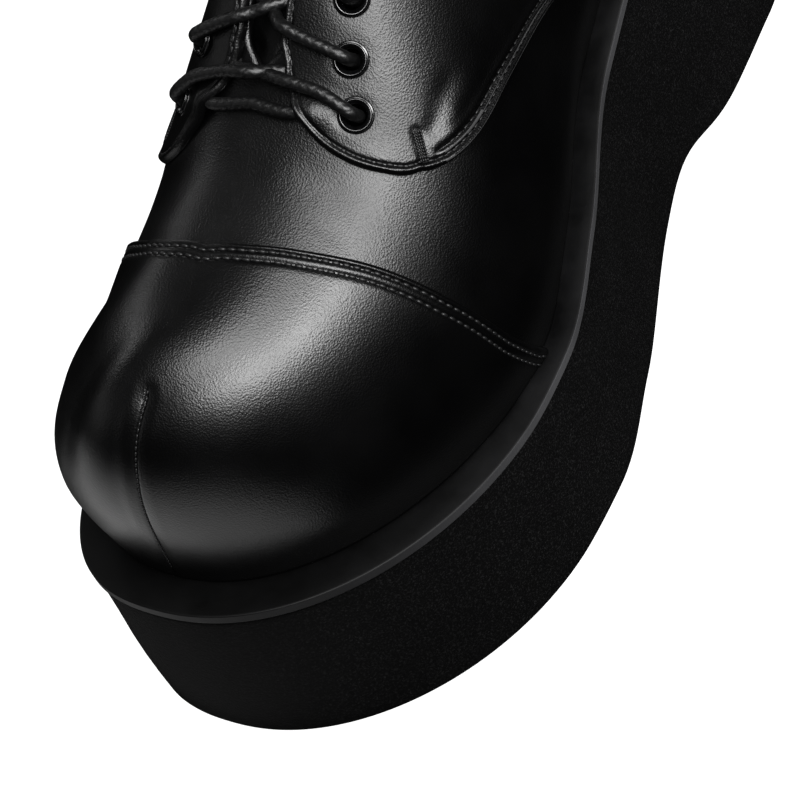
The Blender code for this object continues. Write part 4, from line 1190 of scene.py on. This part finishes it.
def pressed_round_holes(side, points):
    """Shallow dish that the eyelets press into the leather."""
    dish = np.zeros(points.shape[:-1])
    for row in range(len(HOLE_ROUND)):
        k, t, _ = hole_place(side, row)
        away = np.linalg.norm(points - leather_at(side, k, t), axis=-1)
        dish = dish + 0.16 * np.exp(-(np.maximum(away - 3.6, 0) / 1.1) ** 2)
    return dish


def build_quarter(name, side, mat, highlight_mat):
    end = tab_end[side]
    ks = np.concatenate([BACK_SEAM + np.array([0, .0004, .001, .002, .0035, .006]),
                         np.linspace(0.01, TAB_FROM, 150), np.linspace(TAB_FROM, end, 66)[1:]])
    low, high = span_low[side](ks), span_high[side](ks)
    tall = np.linalg.norm(np.diff(leather_at(side, np.repeat(ks[:, None], 40, 1),
                          low[:, None] + (high - low)[:, None] * np.linspace(0, 1, 40)), axis=1),
                          axis=-1).sum(1)
    near = EDGE_STEPS[None] * np.minimum(1.0, tall / 19.0)[:, None] / np.maximum(tall, 1e-6)[:, None]
    middle = near[:, -1:] + (1 - 2 * near[:, -1:]) * np.linspace(0, 1, 42)[None, 1:-1]
    share = np.concatenate([near, middle, 1 - near[:, ::-1]], axis=1)
    grid_t = low[:, None] + (high - low)[:, None] * share
    grid_k = np.repeat(ks[:, None], share.shape[1], 1)
    base = leather_at(side, grid_k, grid_t)
    relief = creased(side, grid_k, grid_t)
    edge = free_edges(side)
    away = distance_to(base, edge)
    at_heel = leather_at(side, np.full(40, BACK_SEAM), np.linspace(0, 1, 40))
    seam = distance_to(base, at_heel)
    tack = distance_to(base, leather_at(side, *np.array(TACKS[side]).T))
    behind = distance_to(base, second_row_line(side))
    rise = turned_edge(np.minimum(away, seam + 0.25), QUARTER_RISE, ())
    rise = rise - 0.42 * np.exp(-((away - EDGE_ROW) / 0.42) ** 2)
    second = np.exp(-((behind - SECOND_ROW) / 0.42) ** 2) - 0.75 * np.exp(-((behind - 5.1) / 0.85) ** 2)
    same = np.clip(1 - (behind - away) / 0.8, 0, 1)
    rise = rise - 0.42 * second * same - 0.35 * np.exp(-((tack - TACK_HALF) / 0.5) ** 2)
    between = np.abs(away - (EDGE_ROW + SECOND_ROW) / 2)
    rise = rise + 0.20 * same * np.exp(-((away - 0.85) / 0.42) ** 2)
    rise = rise + 0.40 * same * np.exp(-(between / 0.5) ** 2)
    # painted highlight: faces on the folded edge and on the ridge between the rows take the pale leather
    painted_highlight = (same > 0.4) & ((between < 0.36) | (np.abs(away - 0.8) < 0.3))
    rise = rise - pressed_round_holes(side, base)
    folds = creased(side, grid_k, grid_t, QUARTER_FOLDS, 0.0) * np.clip(away / 3.0, 0, 1)
    relief = relief + stood_off(side, base)
    top = relief + folds + np.maximum(rise, UNDERLAP + 0.12)
    rows, cols = grid_k.shape
    points = [on_leather(side, grid_k, grid_t, top).reshape(-1, 3),
              on_leather(side, grid_k, grid_t, np.minimum(relief + UNDERLAP, top - 0.1)).reshape(-1, 3)]
    n = rows * cols
    faces = grid_faces(0, rows, cols) + grid_faces(n, rows, cols)
    for a in (0, (rows - 1) * cols):
        faces += [(a + c, a + c + 1, n + a + c + 1, n + a + c) for c in range(cols - 1)]
    for c in (0, cols - 1):
        faces += [(r * cols + c, (r + 1) * cols + c, n + (r + 1) * cols + c, n + r * cols + c)
                  for r in range(rows - 1)]
    slots = np.zeros(len(faces), int)
    slots[:(rows - 1) * (cols - 1)] = (painted_highlight[:-1, :-1] & painted_highlight[1:, 1:]).ravel()
    panel = piece(name, np.concatenate(points), faces, mat, highlight_mat, slots=slots)
    return cut_away(panel, punch("hole_punch", (side,)), "MANIFOLD")


def evenly(side, ks, ts, gap=1.2):
    """The same line on the leather with its points a set distance apart."""
    line = leather_at(side, ks, ts)
    run = np.concatenate([[0], np.cumsum(np.linalg.norm(np.diff(line, axis=0), axis=1))])
    want = np.linspace(0, run[-1], max(int(run[-1] / gap), 2))
    return np.interp(want, run, ks), np.interp(want, run, ts)


def quarter_stitches(side):
    """Rows along the turned edge, the doubled row behind the tack, and the tack itself."""
    lift = QUARTER_RISE - 0.30
    middle = (0.5, 0.8)
    rows = []
    ks, ts = evenly(side, *lower_edge(side, 0.262, 160))
    rows.append(inward_from(side, ks, ts, EDGE_ROW, lift, middle)[2])
    keep = ks < SECOND_FROM[side]
    rows.append(inward_from(side, ks[keep], ts[keep], SECOND_ROW, lift, middle)[2][:-3])
    ks, ts = evenly(side, *upper_edge(side, 0.004, 200))
    rows.append(inward_from(side, ks, ts, EDGE_ROW, lift, middle)[2])
    panel_rows = sewn("quarter_stitching_" + ("outer" if side > 0 else "inner"), rows,
                      pitch=2.3, length=1.8, radius=0.30)
    tk, tt = evenly(side, *np.array(TACKS[side]).T, 0.5)
    lines = [inward_from(side, tk, tt, d, QUARTER_RISE - 0.05, (0.5, 0.62))[2]
             for d in (-TACK_HALF, -0.25, 0.25, TACK_HALF)]
    tack_rows = sewn("lace_tack_" + ("outer" if side > 0 else "inner"), lines,
                     pitch=0.62, length=0.75, radius=0.30)
    return panel_rows, tack_rows


quarter_leather = leather_finish("black_leather_quarter", 0.55, 0.36, 0.06)
# the second leather is a painted highlight on the quarter's edge ridges
painted_highlight_leather = leather_finish("painted_highlight_leather", 0.3, 0.32, 0.03, HIGHLIGHT_PAINT_DARK, HIGHLIGHT_PAINT_PALE)
for side, label in ((1, "outer"), (-1, "inner")):
    quarter = build_quarter("leather_quarter_" + label, side, quarter_leather, painted_highlight_leather)
    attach(quarter, "root")
    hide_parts("quarter_" + label)
    for rows in quarter_stitches(side):
        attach(rows, "root")

# ---- Tongue
# A padded leather strip sewn in below the throat. It follows the instep under the facings, and
# its rounded end stands free above them, with one row of stitching round it.
TONGUE_THICK, TONGUE_FIT = 3.0, 1.2
tongue_side = eased((122.0, 134.0, 150.0, 200.0), (1.0, 6.0, 12.0, 12.0))
TONGUE_FROM, TONGUE_TO = 196.0, 122.0
TONGUE_STAND, TONGUE_SLOPE = 19.0, 36.0
tongue_end = eased((0.0, 0.3, 0.62, 0.87, 1.0), (1.0, 0.93, 0.89, 0.75, 0.46))
tongue_leather = leather_finish("tongue_leather", 0.45, 0.4, 0.12)


def section_round(at):
    """Share of the way round of the section at a distance along the shoe."""
    low, high = 0.0, 1.0
    for _ in range(40):
        mid = (low + high) / 2
        low, high = (mid, high) if float(section_at(mid)) < at else (low, mid)
    return high


def tongue_row(k, count):
    """Points across the tongue under the section at k."""
    depth = -(WALL + TONGUE_FIT)
    halves = []
    for side in (1, -1):
        low = down_from_edge(side, k, float(tongue_side(section_at(k))))
        halves.append(on_leather(side, k, np.linspace(low, 1, 20), depth))
    line = np.concatenate([halves[0], halves[1][::-1]])
    run = np.concatenate([[0], np.cumsum(np.linalg.norm(np.diff(line, axis=0), axis=1))])
    want = np.linspace(0, run[-1], count)
    return np.stack([np.interp(want, run, line[:, i]) for i in range(3)], -1)


def smooth_rows(rows, turns):
    """Evens out a grid along its length, keeping its ends."""
    for _ in range(turns):
        rows[1:-1] = (rows[:-2] + 2 * rows[1:-1] + rows[2:]) / 4
    return rows


def build_tongue(mat):
    across = 41
    ats = np.linspace(TONGUE_FROM, TONGUE_TO, 70)
    rows = [tongue_row(section_round(at), across) for at in ats]
    base = rows[-1]
    centre = base.mean(axis=0)
    slope = math.radians(TONGUE_SLOPE)
    lean = np.array([0.0, -math.cos(slope), math.sin(slope)])
    for reach in np.concatenate([np.linspace(0.05, 0.9, 20), 1 - 0.1 * np.linspace(0.9, 0, 8) ** 2]):
        rows.append(centre + (base - centre) * float(tongue_end(reach)) + lean * TONGUE_STAND * reach)
    face = smooth_rows(np.array(rows), 6)
    along, sideways = np.gradient(face, axis=0), np.gradient(face, axis=1)
    normal = unit(np.cross(sideways, along))
    if normal[0, across // 2, 2] < 0:
        normal = -normal
    n, m = face.shape[:2]
    rim = np.concatenate([face[:, 0], face[-1], face[::-1, -1]])
    away = distance_to(face, rim)
    row = 0.34 * np.exp(-((away - 3.0) / 0.55) ** 2)
    thin = TONGUE_THICK / 2 * (1 - np.sqrt(1 - (1 - np.clip(away / 1.5, 0, 1)) ** 2))
    share = np.linspace(-1, 1, m)[None]
    run = np.linspace(0, 1, n)[:, None]
    wrinkle = 0.12 * np.sin(run * 46 + 2.5 * np.sin(share * 2.2)) * (1 - share ** 2)
    press = np.zeros((n, m))
    for line in tucked_lines():
        press = np.maximum(press, np.exp(-(distance_to(face, line) / 2.2) ** 2))
    top = face + normal * (-thin - row + wrinkle - 2.0 * press)[..., None]
    under = face - normal * (TONGUE_THICK - thin * 0.98 + 0.9 * press)[..., None]
    size = n * m
    faces = grid_faces(0, n, m) + grid_faces(size, n, m)
    for a in (0, (n - 1) * m):
        faces += [(a + c, a + c + 1, size + a + c + 1, size + a + c) for c in range(m - 1)]
    for c in (0, m - 1):
        faces += [(r * m + c, (r + 1) * m + c, size + (r + 1) * m + c, size + r * m + c)
                  for r in range(n - 1)]
    body = piece("padded_tongue", np.concatenate([top.reshape(-1, 3), under.reshape(-1, 3)]), faces, mat)
    inset = 3.0
    ring_line = []
    for r in range(20, n):
        ring_line.append(top[r, int(np.argmin(np.abs(away[r, :m // 2] - inset)))])
    far = []
    for r in range(20, n):
        half = away[r, m // 2:]
        far.append(top[r, m // 2 + int(np.argmin(np.abs(half - inset)))])
    line = np.array(ring_line + far[::-1]) + (0.0, 0.0, 0.15)
    return body, line


LACE_RADIUS = 1.5
FACING_RISE = 1.85


def smooth_path(knots, per_span=8):
    """Soft curve through the knots."""
    knots = np.asarray(knots, float)
    ends = np.concatenate([[2 * knots[0] - knots[1]], knots, [2 * knots[-1] - knots[-2]]])
    out = []
    for i in range(len(knots) - 1):
        p0, p1, p2, p3 = ends[i:i + 4]
        for j in range(per_span):
            t = j / per_span
            out.append(0.5 * (2 * p1 + (p2 - p0) * t + (2 * p0 - 5 * p1 + 4 * p2 - p3) * t * t
                              + (3 * p1 - p0 - 3 * p2 + p3) * t ** 3))
    out.append(knots[-1])
    return np.array(out)


def over_tongue(k, share, lift=0.0):
    """Place for the lace on the tongue; share runs -1 at the inner facing to 1 at the outer one."""
    outer = on_leather(1, k, 1.0, -(WALL + TONGUE_FIT))
    inner = on_leather(-1, k, 1.0, -(WALL + TONGUE_FIT))
    normal = unit(leather_normal(1, k, 1.0) + leather_normal(-1, k, 1.0))
    return (outer + inner) / 2 + (outer - inner) / 2 * share + normal * (LACE_RADIUS + 0.1 + lift)


def on_facing(side, k, in_from_edge, lift=0.0):
    """Place for the lace on a facing, a distance in from the facing's own edge."""
    down = down_of_share(side, k, float(span_high[side](k))) + in_from_edge
    return on_leather(side, k, down_from_edge(side, k, down), FACING_RISE + LACE_RADIUS + lift)


def down_of_share(side, k, t):
    """Distance down the section from its top edge to a share up."""
    ts = np.linspace(t, 1, 30)
    return float(np.linalg.norm(np.diff(leather_at(side, np.full(30, k), ts), axis=0), axis=1).sum())


def on_vamp(side, k, t, lift=0.0):
    """Place for the lace on the closed leather below the throat."""
    return on_leather(side, k, t, LACE_RADIUS + lift)


def under_facing(side, k, down):
    """Place for the lace between a facing and the tongue."""
    return on_leather(side, k, down_from_edge(side, k, down), -(WALL + LACE_RADIUS * 0.72 + 0.15))


def out_of_hole(side, row):
    """Up through a lace hole and out over its rim."""
    k, t, normal = hole_place(side, row)
    middle = on_leather(side, k, t, FACING_RISE)
    inward = unit(leather_at(side, k, t + 0.04) - leather_at(side, k, t))
    return [middle - normal * 3.6 - inward * 0.7, middle - normal * 1.2 - inward * 0.4,
            middle + normal * 1.0 + inward * 0.1, middle + normal * 2.6 + inward * 2.2]


def strand(side, row):
    """From a hole over its own facing, across the tongue and in under the other facing."""
    k, step = HOLE_ROUND[row], HOLE_ROUND[row + 1] - HOLE_ROUND[row]
    next_down = HOLE_DOWN[-side][row + 1]
    on_top = side < 0
    knots = out_of_hole(side, row)
    if row == 0:
        knots.append(on_facing(side, k + 0.12 * step, 10.0, 0.9))
        knots.append(on_facing(side, k + 0.10 * step, 5.0, 0.5))
        knots.append(on_facing(side, k + 0.08 * step, 0.8, 0.35))
        if on_top:
            knots.append(on_vamp(side, k + 0.06 * step, 0.96, 3.0))
            knots.append(on_vamp(-side, k + 0.08 * step, 0.998, 2.5))
            knots.append(on_vamp(-side, k + 0.19 * step, 0.972, -0.6))
            knots.append(on_vamp(-side, k + 0.30 * step, 0.94, -2.4))
        else:
            knots.append(on_vamp(side, k + 0.08 * step, 0.968, 0.7))
            knots.append(on_vamp(-side, k + 0.12 * step, 0.975, 0.0))
            knots.append(on_vamp(-side, k + 0.22 * step, 0.93, -1.0))
    else:
        knots.append(on_facing(side, k + 0.06 * step, 5.5, 0.5))
        knots.append(on_facing(side, k + 0.17 * step, 0.8, 0.35))
        knots.append(over_tongue(k + 0.30 * step, 0.5 * side, 3.6 if on_top else 2.2))
        knots.append(over_tongue(k + 0.42 * step, -0.1 * side, 3.0 if on_top else 0.1))
        knots.append(over_tongue(k + 0.53 * step, -0.7 * side, 0.6 if on_top else -0.5))
    knots.append(under_facing(-side, k + 0.66 * step, 3.0))
    knots.append(under_facing(-side, k + 0.85 * step, next_down * 0.62))
    return knots


def lace_half(side):
    """Knots from the middle of the first bar to the top hole."""
    start, edge, hole = bar_run(side)
    k, t, normal = hole_place(side, 0)
    knots = [on_vamp(side, BAR_ROUND[side], 1.0, 0.1), on_vamp(side, BAR_ROUND[side], BAR_UP[side], 0.0)]
    ks, ts = np.linspace(BAR_ROUND[side], k, 4), np.linspace(BAR_UP[side], t, 4)
    knots += [on_vamp(side, ks[1], ts[1], -0.55), on_vamp(side, ks[2], ts[2], -0.75)]
    for row in range(len(HOLE_ROUND) - 1):
        rising = strand(side, row)
        knots += rising[1:] if row == 0 else rising
        side = -side
    return knots + out_of_hole(side, len(HOLE_ROUND) - 1)[:3]


def tucked_lines():
    """Stretches of lace that lie between the facings and the tongue."""
    lines = []
    for side in (1, -1):
        for row in range(len(HOLE_ROUND) - 1):
            k, step = HOLE_ROUND[row], HOLE_ROUND[row + 1] - HOLE_ROUND[row]
            lines.append(np.array([under_facing(-side, k + 0.62 * step, 1.5),
                                   under_facing(-side, k + 0.66 * step, 3.0),
                                   under_facing(-side, k + 0.85 * step, HOLE_DOWN[-side][row + 1] * 0.62),
                                   under_facing(-side, HOLE_ROUND[row + 1], HOLE_DOWN[-side][row + 1])]))
    return lines


tongue, tongue_line = build_tongue(tongue_leather)
tongue_rows = sewn("tongue_stitching", [tongue_line], pitch=2.4, length=1.9, radius=0.3)
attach(tongue, "root")
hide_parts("tongue")
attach(tongue_rows, "root")

# ---- Eyelets
# Turned metal rings painted black. The barrel passes through facing and lining, and the lace
# runs over a round shoulder that stands above the flat rim.
RING_NAMES = ("out from the middle", "above the leather")
RING_PROFILE = (
    (4.00, 0.04), (4.08, 0.16), (4.02, 0.32), (3.80, 0.42), (3.55, 0.46), (3.40, 0.60),
    (3.62, 0.74), (3.48, 0.93), (3.32, 0.95), (3.16, 0.84), (2.86, 0.52), (2.48, 0.16),
    (2.36, -0.6), (2.36, -3.5), (2.56, -3.5), (2.56, -0.6), (2.56, 0.04),
)
METAL_BLACK = (0.002, 0.002, 0.0022)
RING_SIDES = 40


def metal_finish():
    """Black paint over metal, with fine scuffing on the polish."""
    mat, shader, add, join = finish_tree("painted_metal")
    place = add("ShaderNodeTexCoord")
    rub = add("ShaderNodeTexNoise", Scale=900.0, Detail=3.0)
    dull = add("ShaderNodeMapRange")
    dull.inputs["To Min"].default_value = 0.16
    dull.inputs["To Max"].default_value = 0.34
    tint = ramp_between(add, 0.4, 0.75, METAL_BLACK, (0.005, 0.005, 0.0053))
    bump = add("ShaderNodeBump", Strength=0.12, Distance=0.00008)
    join(place, "Object", rub, "Vector")
    join(rub, "Fac", dull, "Value")
    join(dull, "Result", shader, "Roughness")
    join(rub, "Fac", tint, "Fac")
    join(tint, "Color", shader, "Base Color")
    join(rub, "Fac", bump, "Height")
    join(bump, "Normal", shader, "Normal")
    shader.inputs["Coat Weight"].default_value = 0.35
    shader.inputs["Coat Roughness"].default_value = 0.12
    return mat


def build_eyelet(name, side, row, mat):
    k, t, normal = hole_place(side, row)
    a, b = cross_axes(normal)
    middle = on_leather(side, k, t, FACING_RISE - 0.1)
    angles = np.linspace(0, 2 * math.pi, RING_SIDES, endpoint=False)
    spokes = a * np.cos(angles)[:, None] + b * np.sin(angles)[:, None]
    rings = [middle + normal * high + spokes * out for out, high in RING_PROFILE]
    return piece(name, np.concatenate(rings), ring_wall(rings, closed=True), mat)


painted = metal_finish()
for side, label in ((1, "outer"), (-1, "inner")):
    for row in range(len(HOLE_ROUND)):
        eyelet = build_eyelet("ring_%s_%d" % (label, row + 1), side, row, painted)
        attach(eyelet, "root")
        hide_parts("eyelet_%s_%d" % (label, row + 1))

# ---- Lace
# One round waxed cord, plaited from eight strands. It starts as a bar across the throat, comes
# up through both lowest eyelets and crosses at every pair; both ends stop in the top eyelets.
LACE_SIDES, LACE_STEP = 30, 0.28
PLAIT_AROUND, PLAIT_LONG, PLAIT_DEEP = 5, 2.1, 0.21
CORD_BLACK = (0.0015, 0.0015, 0.0016)


def cord_finish():
    """Waxed cotton: dull fibre with a thin shine on the high strands."""
    mat, shader, add, join = finish_tree("waxed_cord")
    place = add("ShaderNodeTexCoord")
    fibre = add("ShaderNodeTexNoise", Scale=2400.0, Detail=3.0, Roughness=0.65)
    wax = add("ShaderNodeTexNoise", Scale=210.0, Detail=3.0)
    dull = add("ShaderNodeMapRange")
    dull.inputs["To Min"].default_value = 0.36
    dull.inputs["To Max"].default_value = 0.50
    tint = ramp_between(add, 0.3, 0.75, CORD_BLACK, (0.006, 0.006, 0.0062))
    bump = add("ShaderNodeBump", Strength=0.45, Distance=0.00012)
    for tex in (fibre, wax):
        join(place, "Object", tex, "Vector")
    join(wax, "Fac", dull, "Value")
    join(dull, "Result", shader, "Roughness")
    join(fibre, "Fac", tint, "Fac")
    join(tint, "Color", shader, "Base Color")
    join(fibre, "Fac", bump, "Height")
    join(bump, "Normal", shader, "Normal")
    return mat


def plait(along, around):
    """Height of the plait: strands of the two hands lie over and under each other by turns."""
    a = along / PLAIT_LONG + PLAIT_AROUND * around
    b = along / PLAIT_LONG - PLAIT_AROUND * around
    over = (np.floor(a) + np.floor(b)) % 2 == 0
    lying = np.where(over, a - np.floor(a), b - np.floor(b))
    return PLAIT_DEEP * (np.sqrt(np.clip(1 - (2 * lying - 1) ** 2, 0, 1)) - 0.6)


def build_lace(mat):
    left, right = smooth_path(lace_half(-1)), smooth_path(lace_half(1))
    path = np.concatenate([left[::-1], right[1:]])
    run = np.concatenate([[0], np.cumsum(np.linalg.norm(np.diff(path, axis=0), axis=1))])
    want = np.arange(0, run[-1], LACE_STEP)
    path = np.stack([np.interp(want, run, path[:, i]) for i in range(3)], -1)
    for _ in range(6):
        path[1:-1] = (path[:-2] + 2 * path[1:-1] + path[2:]) / 4
    along = unit(np.gradient(path, axis=0))
    frame = unit(np.cross(along[0], (0.0, 0.0, 1.0)))
    angle = np.linspace(0, 2 * math.pi, LACE_SIDES, endpoint=False)
    share = angle / (2 * math.pi)
    rings = []
    for p, d, s in zip(path, along, want):
        frame = unit(frame - d * frame.dot(d))
        other = np.cross(d, frame)
        round_it = frame * np.cos(angle)[:, None] + other * np.sin(angle)[:, None]
        rings.append(p + round_it * (LACE_RADIUS - 0.06 + plait(s, share))[:, None])
    n = LACE_SIDES
    last = (len(rings) - 1) * n
    faces = ring_wall(rings) + [tuple(range(n))[::-1], tuple(last + i for i in range(n))]
    return piece("waxed_lace", np.concatenate(rings), faces, mat)


cord = cord_finish()
lace = build_lace(cord)
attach(lace, "root")
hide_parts("lace_bar", *("lace_cross_%d" % (row + 1) for row in range(len(HOLE_ROUND) - 1)))

# ---- Stage
# A round pale floor, a long softbox beside the outer side, one nearly overhead, a low strip behind
# the inner side and a low glow in front of the toe. The room beyond is dark, as are the blacks.
FLOOR_RADIUS = 0.31
AIM = Vector((0.0, -0.04, 0.09))
SOFTBOX_NAMES = ("name", "round", "height", "distance", "wide", "tall", "radiance")
SOFTBOXES = (
    ("long_softbox", 72.0, 50.0, 1.1, 1.0, 0.36, 18.0),
    ("top_softbox", 60.0, 76.0, 1.1, 0.6, 0.45, 9.0),
    ("rim_strip", -100.0, 30.0, 1.0, 0.35, 0.2, 3.5),
    ("side_softbox", -60.0, 18.0, 1.2, 1.0, 0.6, 0.45),
    ("back_softbox", 200.0, 10.0, 1.4, 1.6, 0.6, 1.8),
)
GLOW_AT, GLOW_SIZE, GLOW_RADIANCE = (-0.10, -0.215, 0.001), (0.32, 0.15), 1.0
VIEW_ROUND, VIEW_HEIGHT, VIEW_ROLL, VIEW_FROM = 47.5, 50.5, -27.0, 0.7164
LOOK_AT = Vector((0.02154, -0.07052, 0.06032))
LENS = 143.46


def compass(around, height):
    """Direction at an angle round from the toe toward the outer side, and up from the floor."""
    a, e = math.radians(around), math.radians(height)
    return Vector((math.sin(a) * math.cos(e), -math.cos(a) * math.cos(e), math.sin(e)))


def frame_facing(back, roll=0.0):
    """Rotation that looks back along a direction, level or rolled."""
    right = (-back).cross(Vector((0, 0, 1))).normalized()
    up = right.cross(-back)
    r = math.radians(roll)
    x = right * math.cos(r) + up * math.sin(r)
    y = up * math.cos(r) - right * math.sin(r)
    return Matrix((x, y, back)).transposed()


def softbox(name, around, height, distance, wide, tall, radiance):
    light = bpy.data.lights.new(name, "AREA")
    light.shape = "RECTANGLE"
    light.size, light.size_y = wide, tall
    light.energy = radiance * math.pi * wide * tall
    back = compass(around, height)
    obj = link(bpy.data.objects.new(name, light))
    obj.matrix_world = Matrix.Translation(AIM + back * distance) @ frame_facing(back).to_4x4()
    obj.visible_camera = False


def floor_glow():
    """Pale floor in front of the toe, as the leather mirrors it."""
    light = bpy.data.lights.new("floor_glow", "AREA")
    light.shape = "RECTANGLE"
    light.size, light.size_y = GLOW_SIZE
    light.energy = GLOW_RADIANCE * math.pi * light.size * light.size_y
    obj = link(bpy.data.objects.new("floor_glow", light))
    obj.matrix_world = Matrix.Translation(GLOW_AT) @ Matrix.Rotation(math.pi, 4, "X")
    obj.visible_camera = False
    obj.visible_diffuse = False


def floor_finish():
    mat, shader, add, join = finish_tree("pale_floor")
    shader.inputs["Base Color"].default_value = (0.2, 0.2, 0.2, 1)
    shader.inputs["Roughness"].default_value = 0.9
    shader.inputs["Emission Color"].default_value = (1, 1, 1, 1)
    shader.inputs["Emission Strength"].default_value = 0.85
    return mat


def build_floor(mat):
    mesh = bpy.data.meshes.new("floor")
    work = bmesh.new()
    bmesh.ops.create_circle(work, cap_ends=True, segments=96, radius=FLOOR_RADIUS,
                            matrix=Matrix.Translation((0, 0, -0.0004)))
    work.to_mesh(mesh)
    work.free()
    mesh.materials.append(mat)
    obj = link(bpy.data.objects.new("floor", mesh))
    obj.visible_glossy = False
    return obj


def dark_room():
    """World that is pale to look at and nearly dark to light by."""
    world = bpy.data.worlds.new("room")
    world.use_nodes = True
    tree = world.node_tree
    out, seen = tree.nodes["World Output"], tree.nodes["Background"]
    seen.inputs["Color"].default_value = (1, 1, 1, 1)
    dim = tree.nodes.new("ShaderNodeBackground")
    dim.inputs["Color"].default_value = (1, 1, 1, 1)
    dim.inputs["Strength"].default_value = 0.002
    ray, pick = tree.nodes.new("ShaderNodeLightPath"), tree.nodes.new("ShaderNodeMixShader")
    tree.links.new(ray.outputs["Is Camera Ray"], pick.inputs[0])
    tree.links.new(dim.outputs[0], pick.inputs[1])
    tree.links.new(seen.outputs[0], pick.inputs[2])
    tree.links.new(pick.outputs[0], out.inputs["Surface"])
    bpy.context.scene.world = world


build_floor(floor_finish())
for row in SOFTBOXES:
    softbox(*row)
floor_glow()
dark_room()
eye = bpy.data.cameras.new("camera")
eye.lens, eye.sensor_width = LENS, 36.0
camera = link(bpy.data.objects.new("camera", eye))
toward = compass(VIEW_ROUND, VIEW_HEIGHT)
camera.matrix_world = Matrix.Translation(LOOK_AT + toward * VIEW_FROM) @ \
    frame_facing(toward, VIEW_ROLL).to_4x4()
bpy.context.scene.camera = camera
bpy.context.scene.view_settings.view_transform = "Standard"
bpy.context.scene.view_settings.look = "Medium High Contrast"
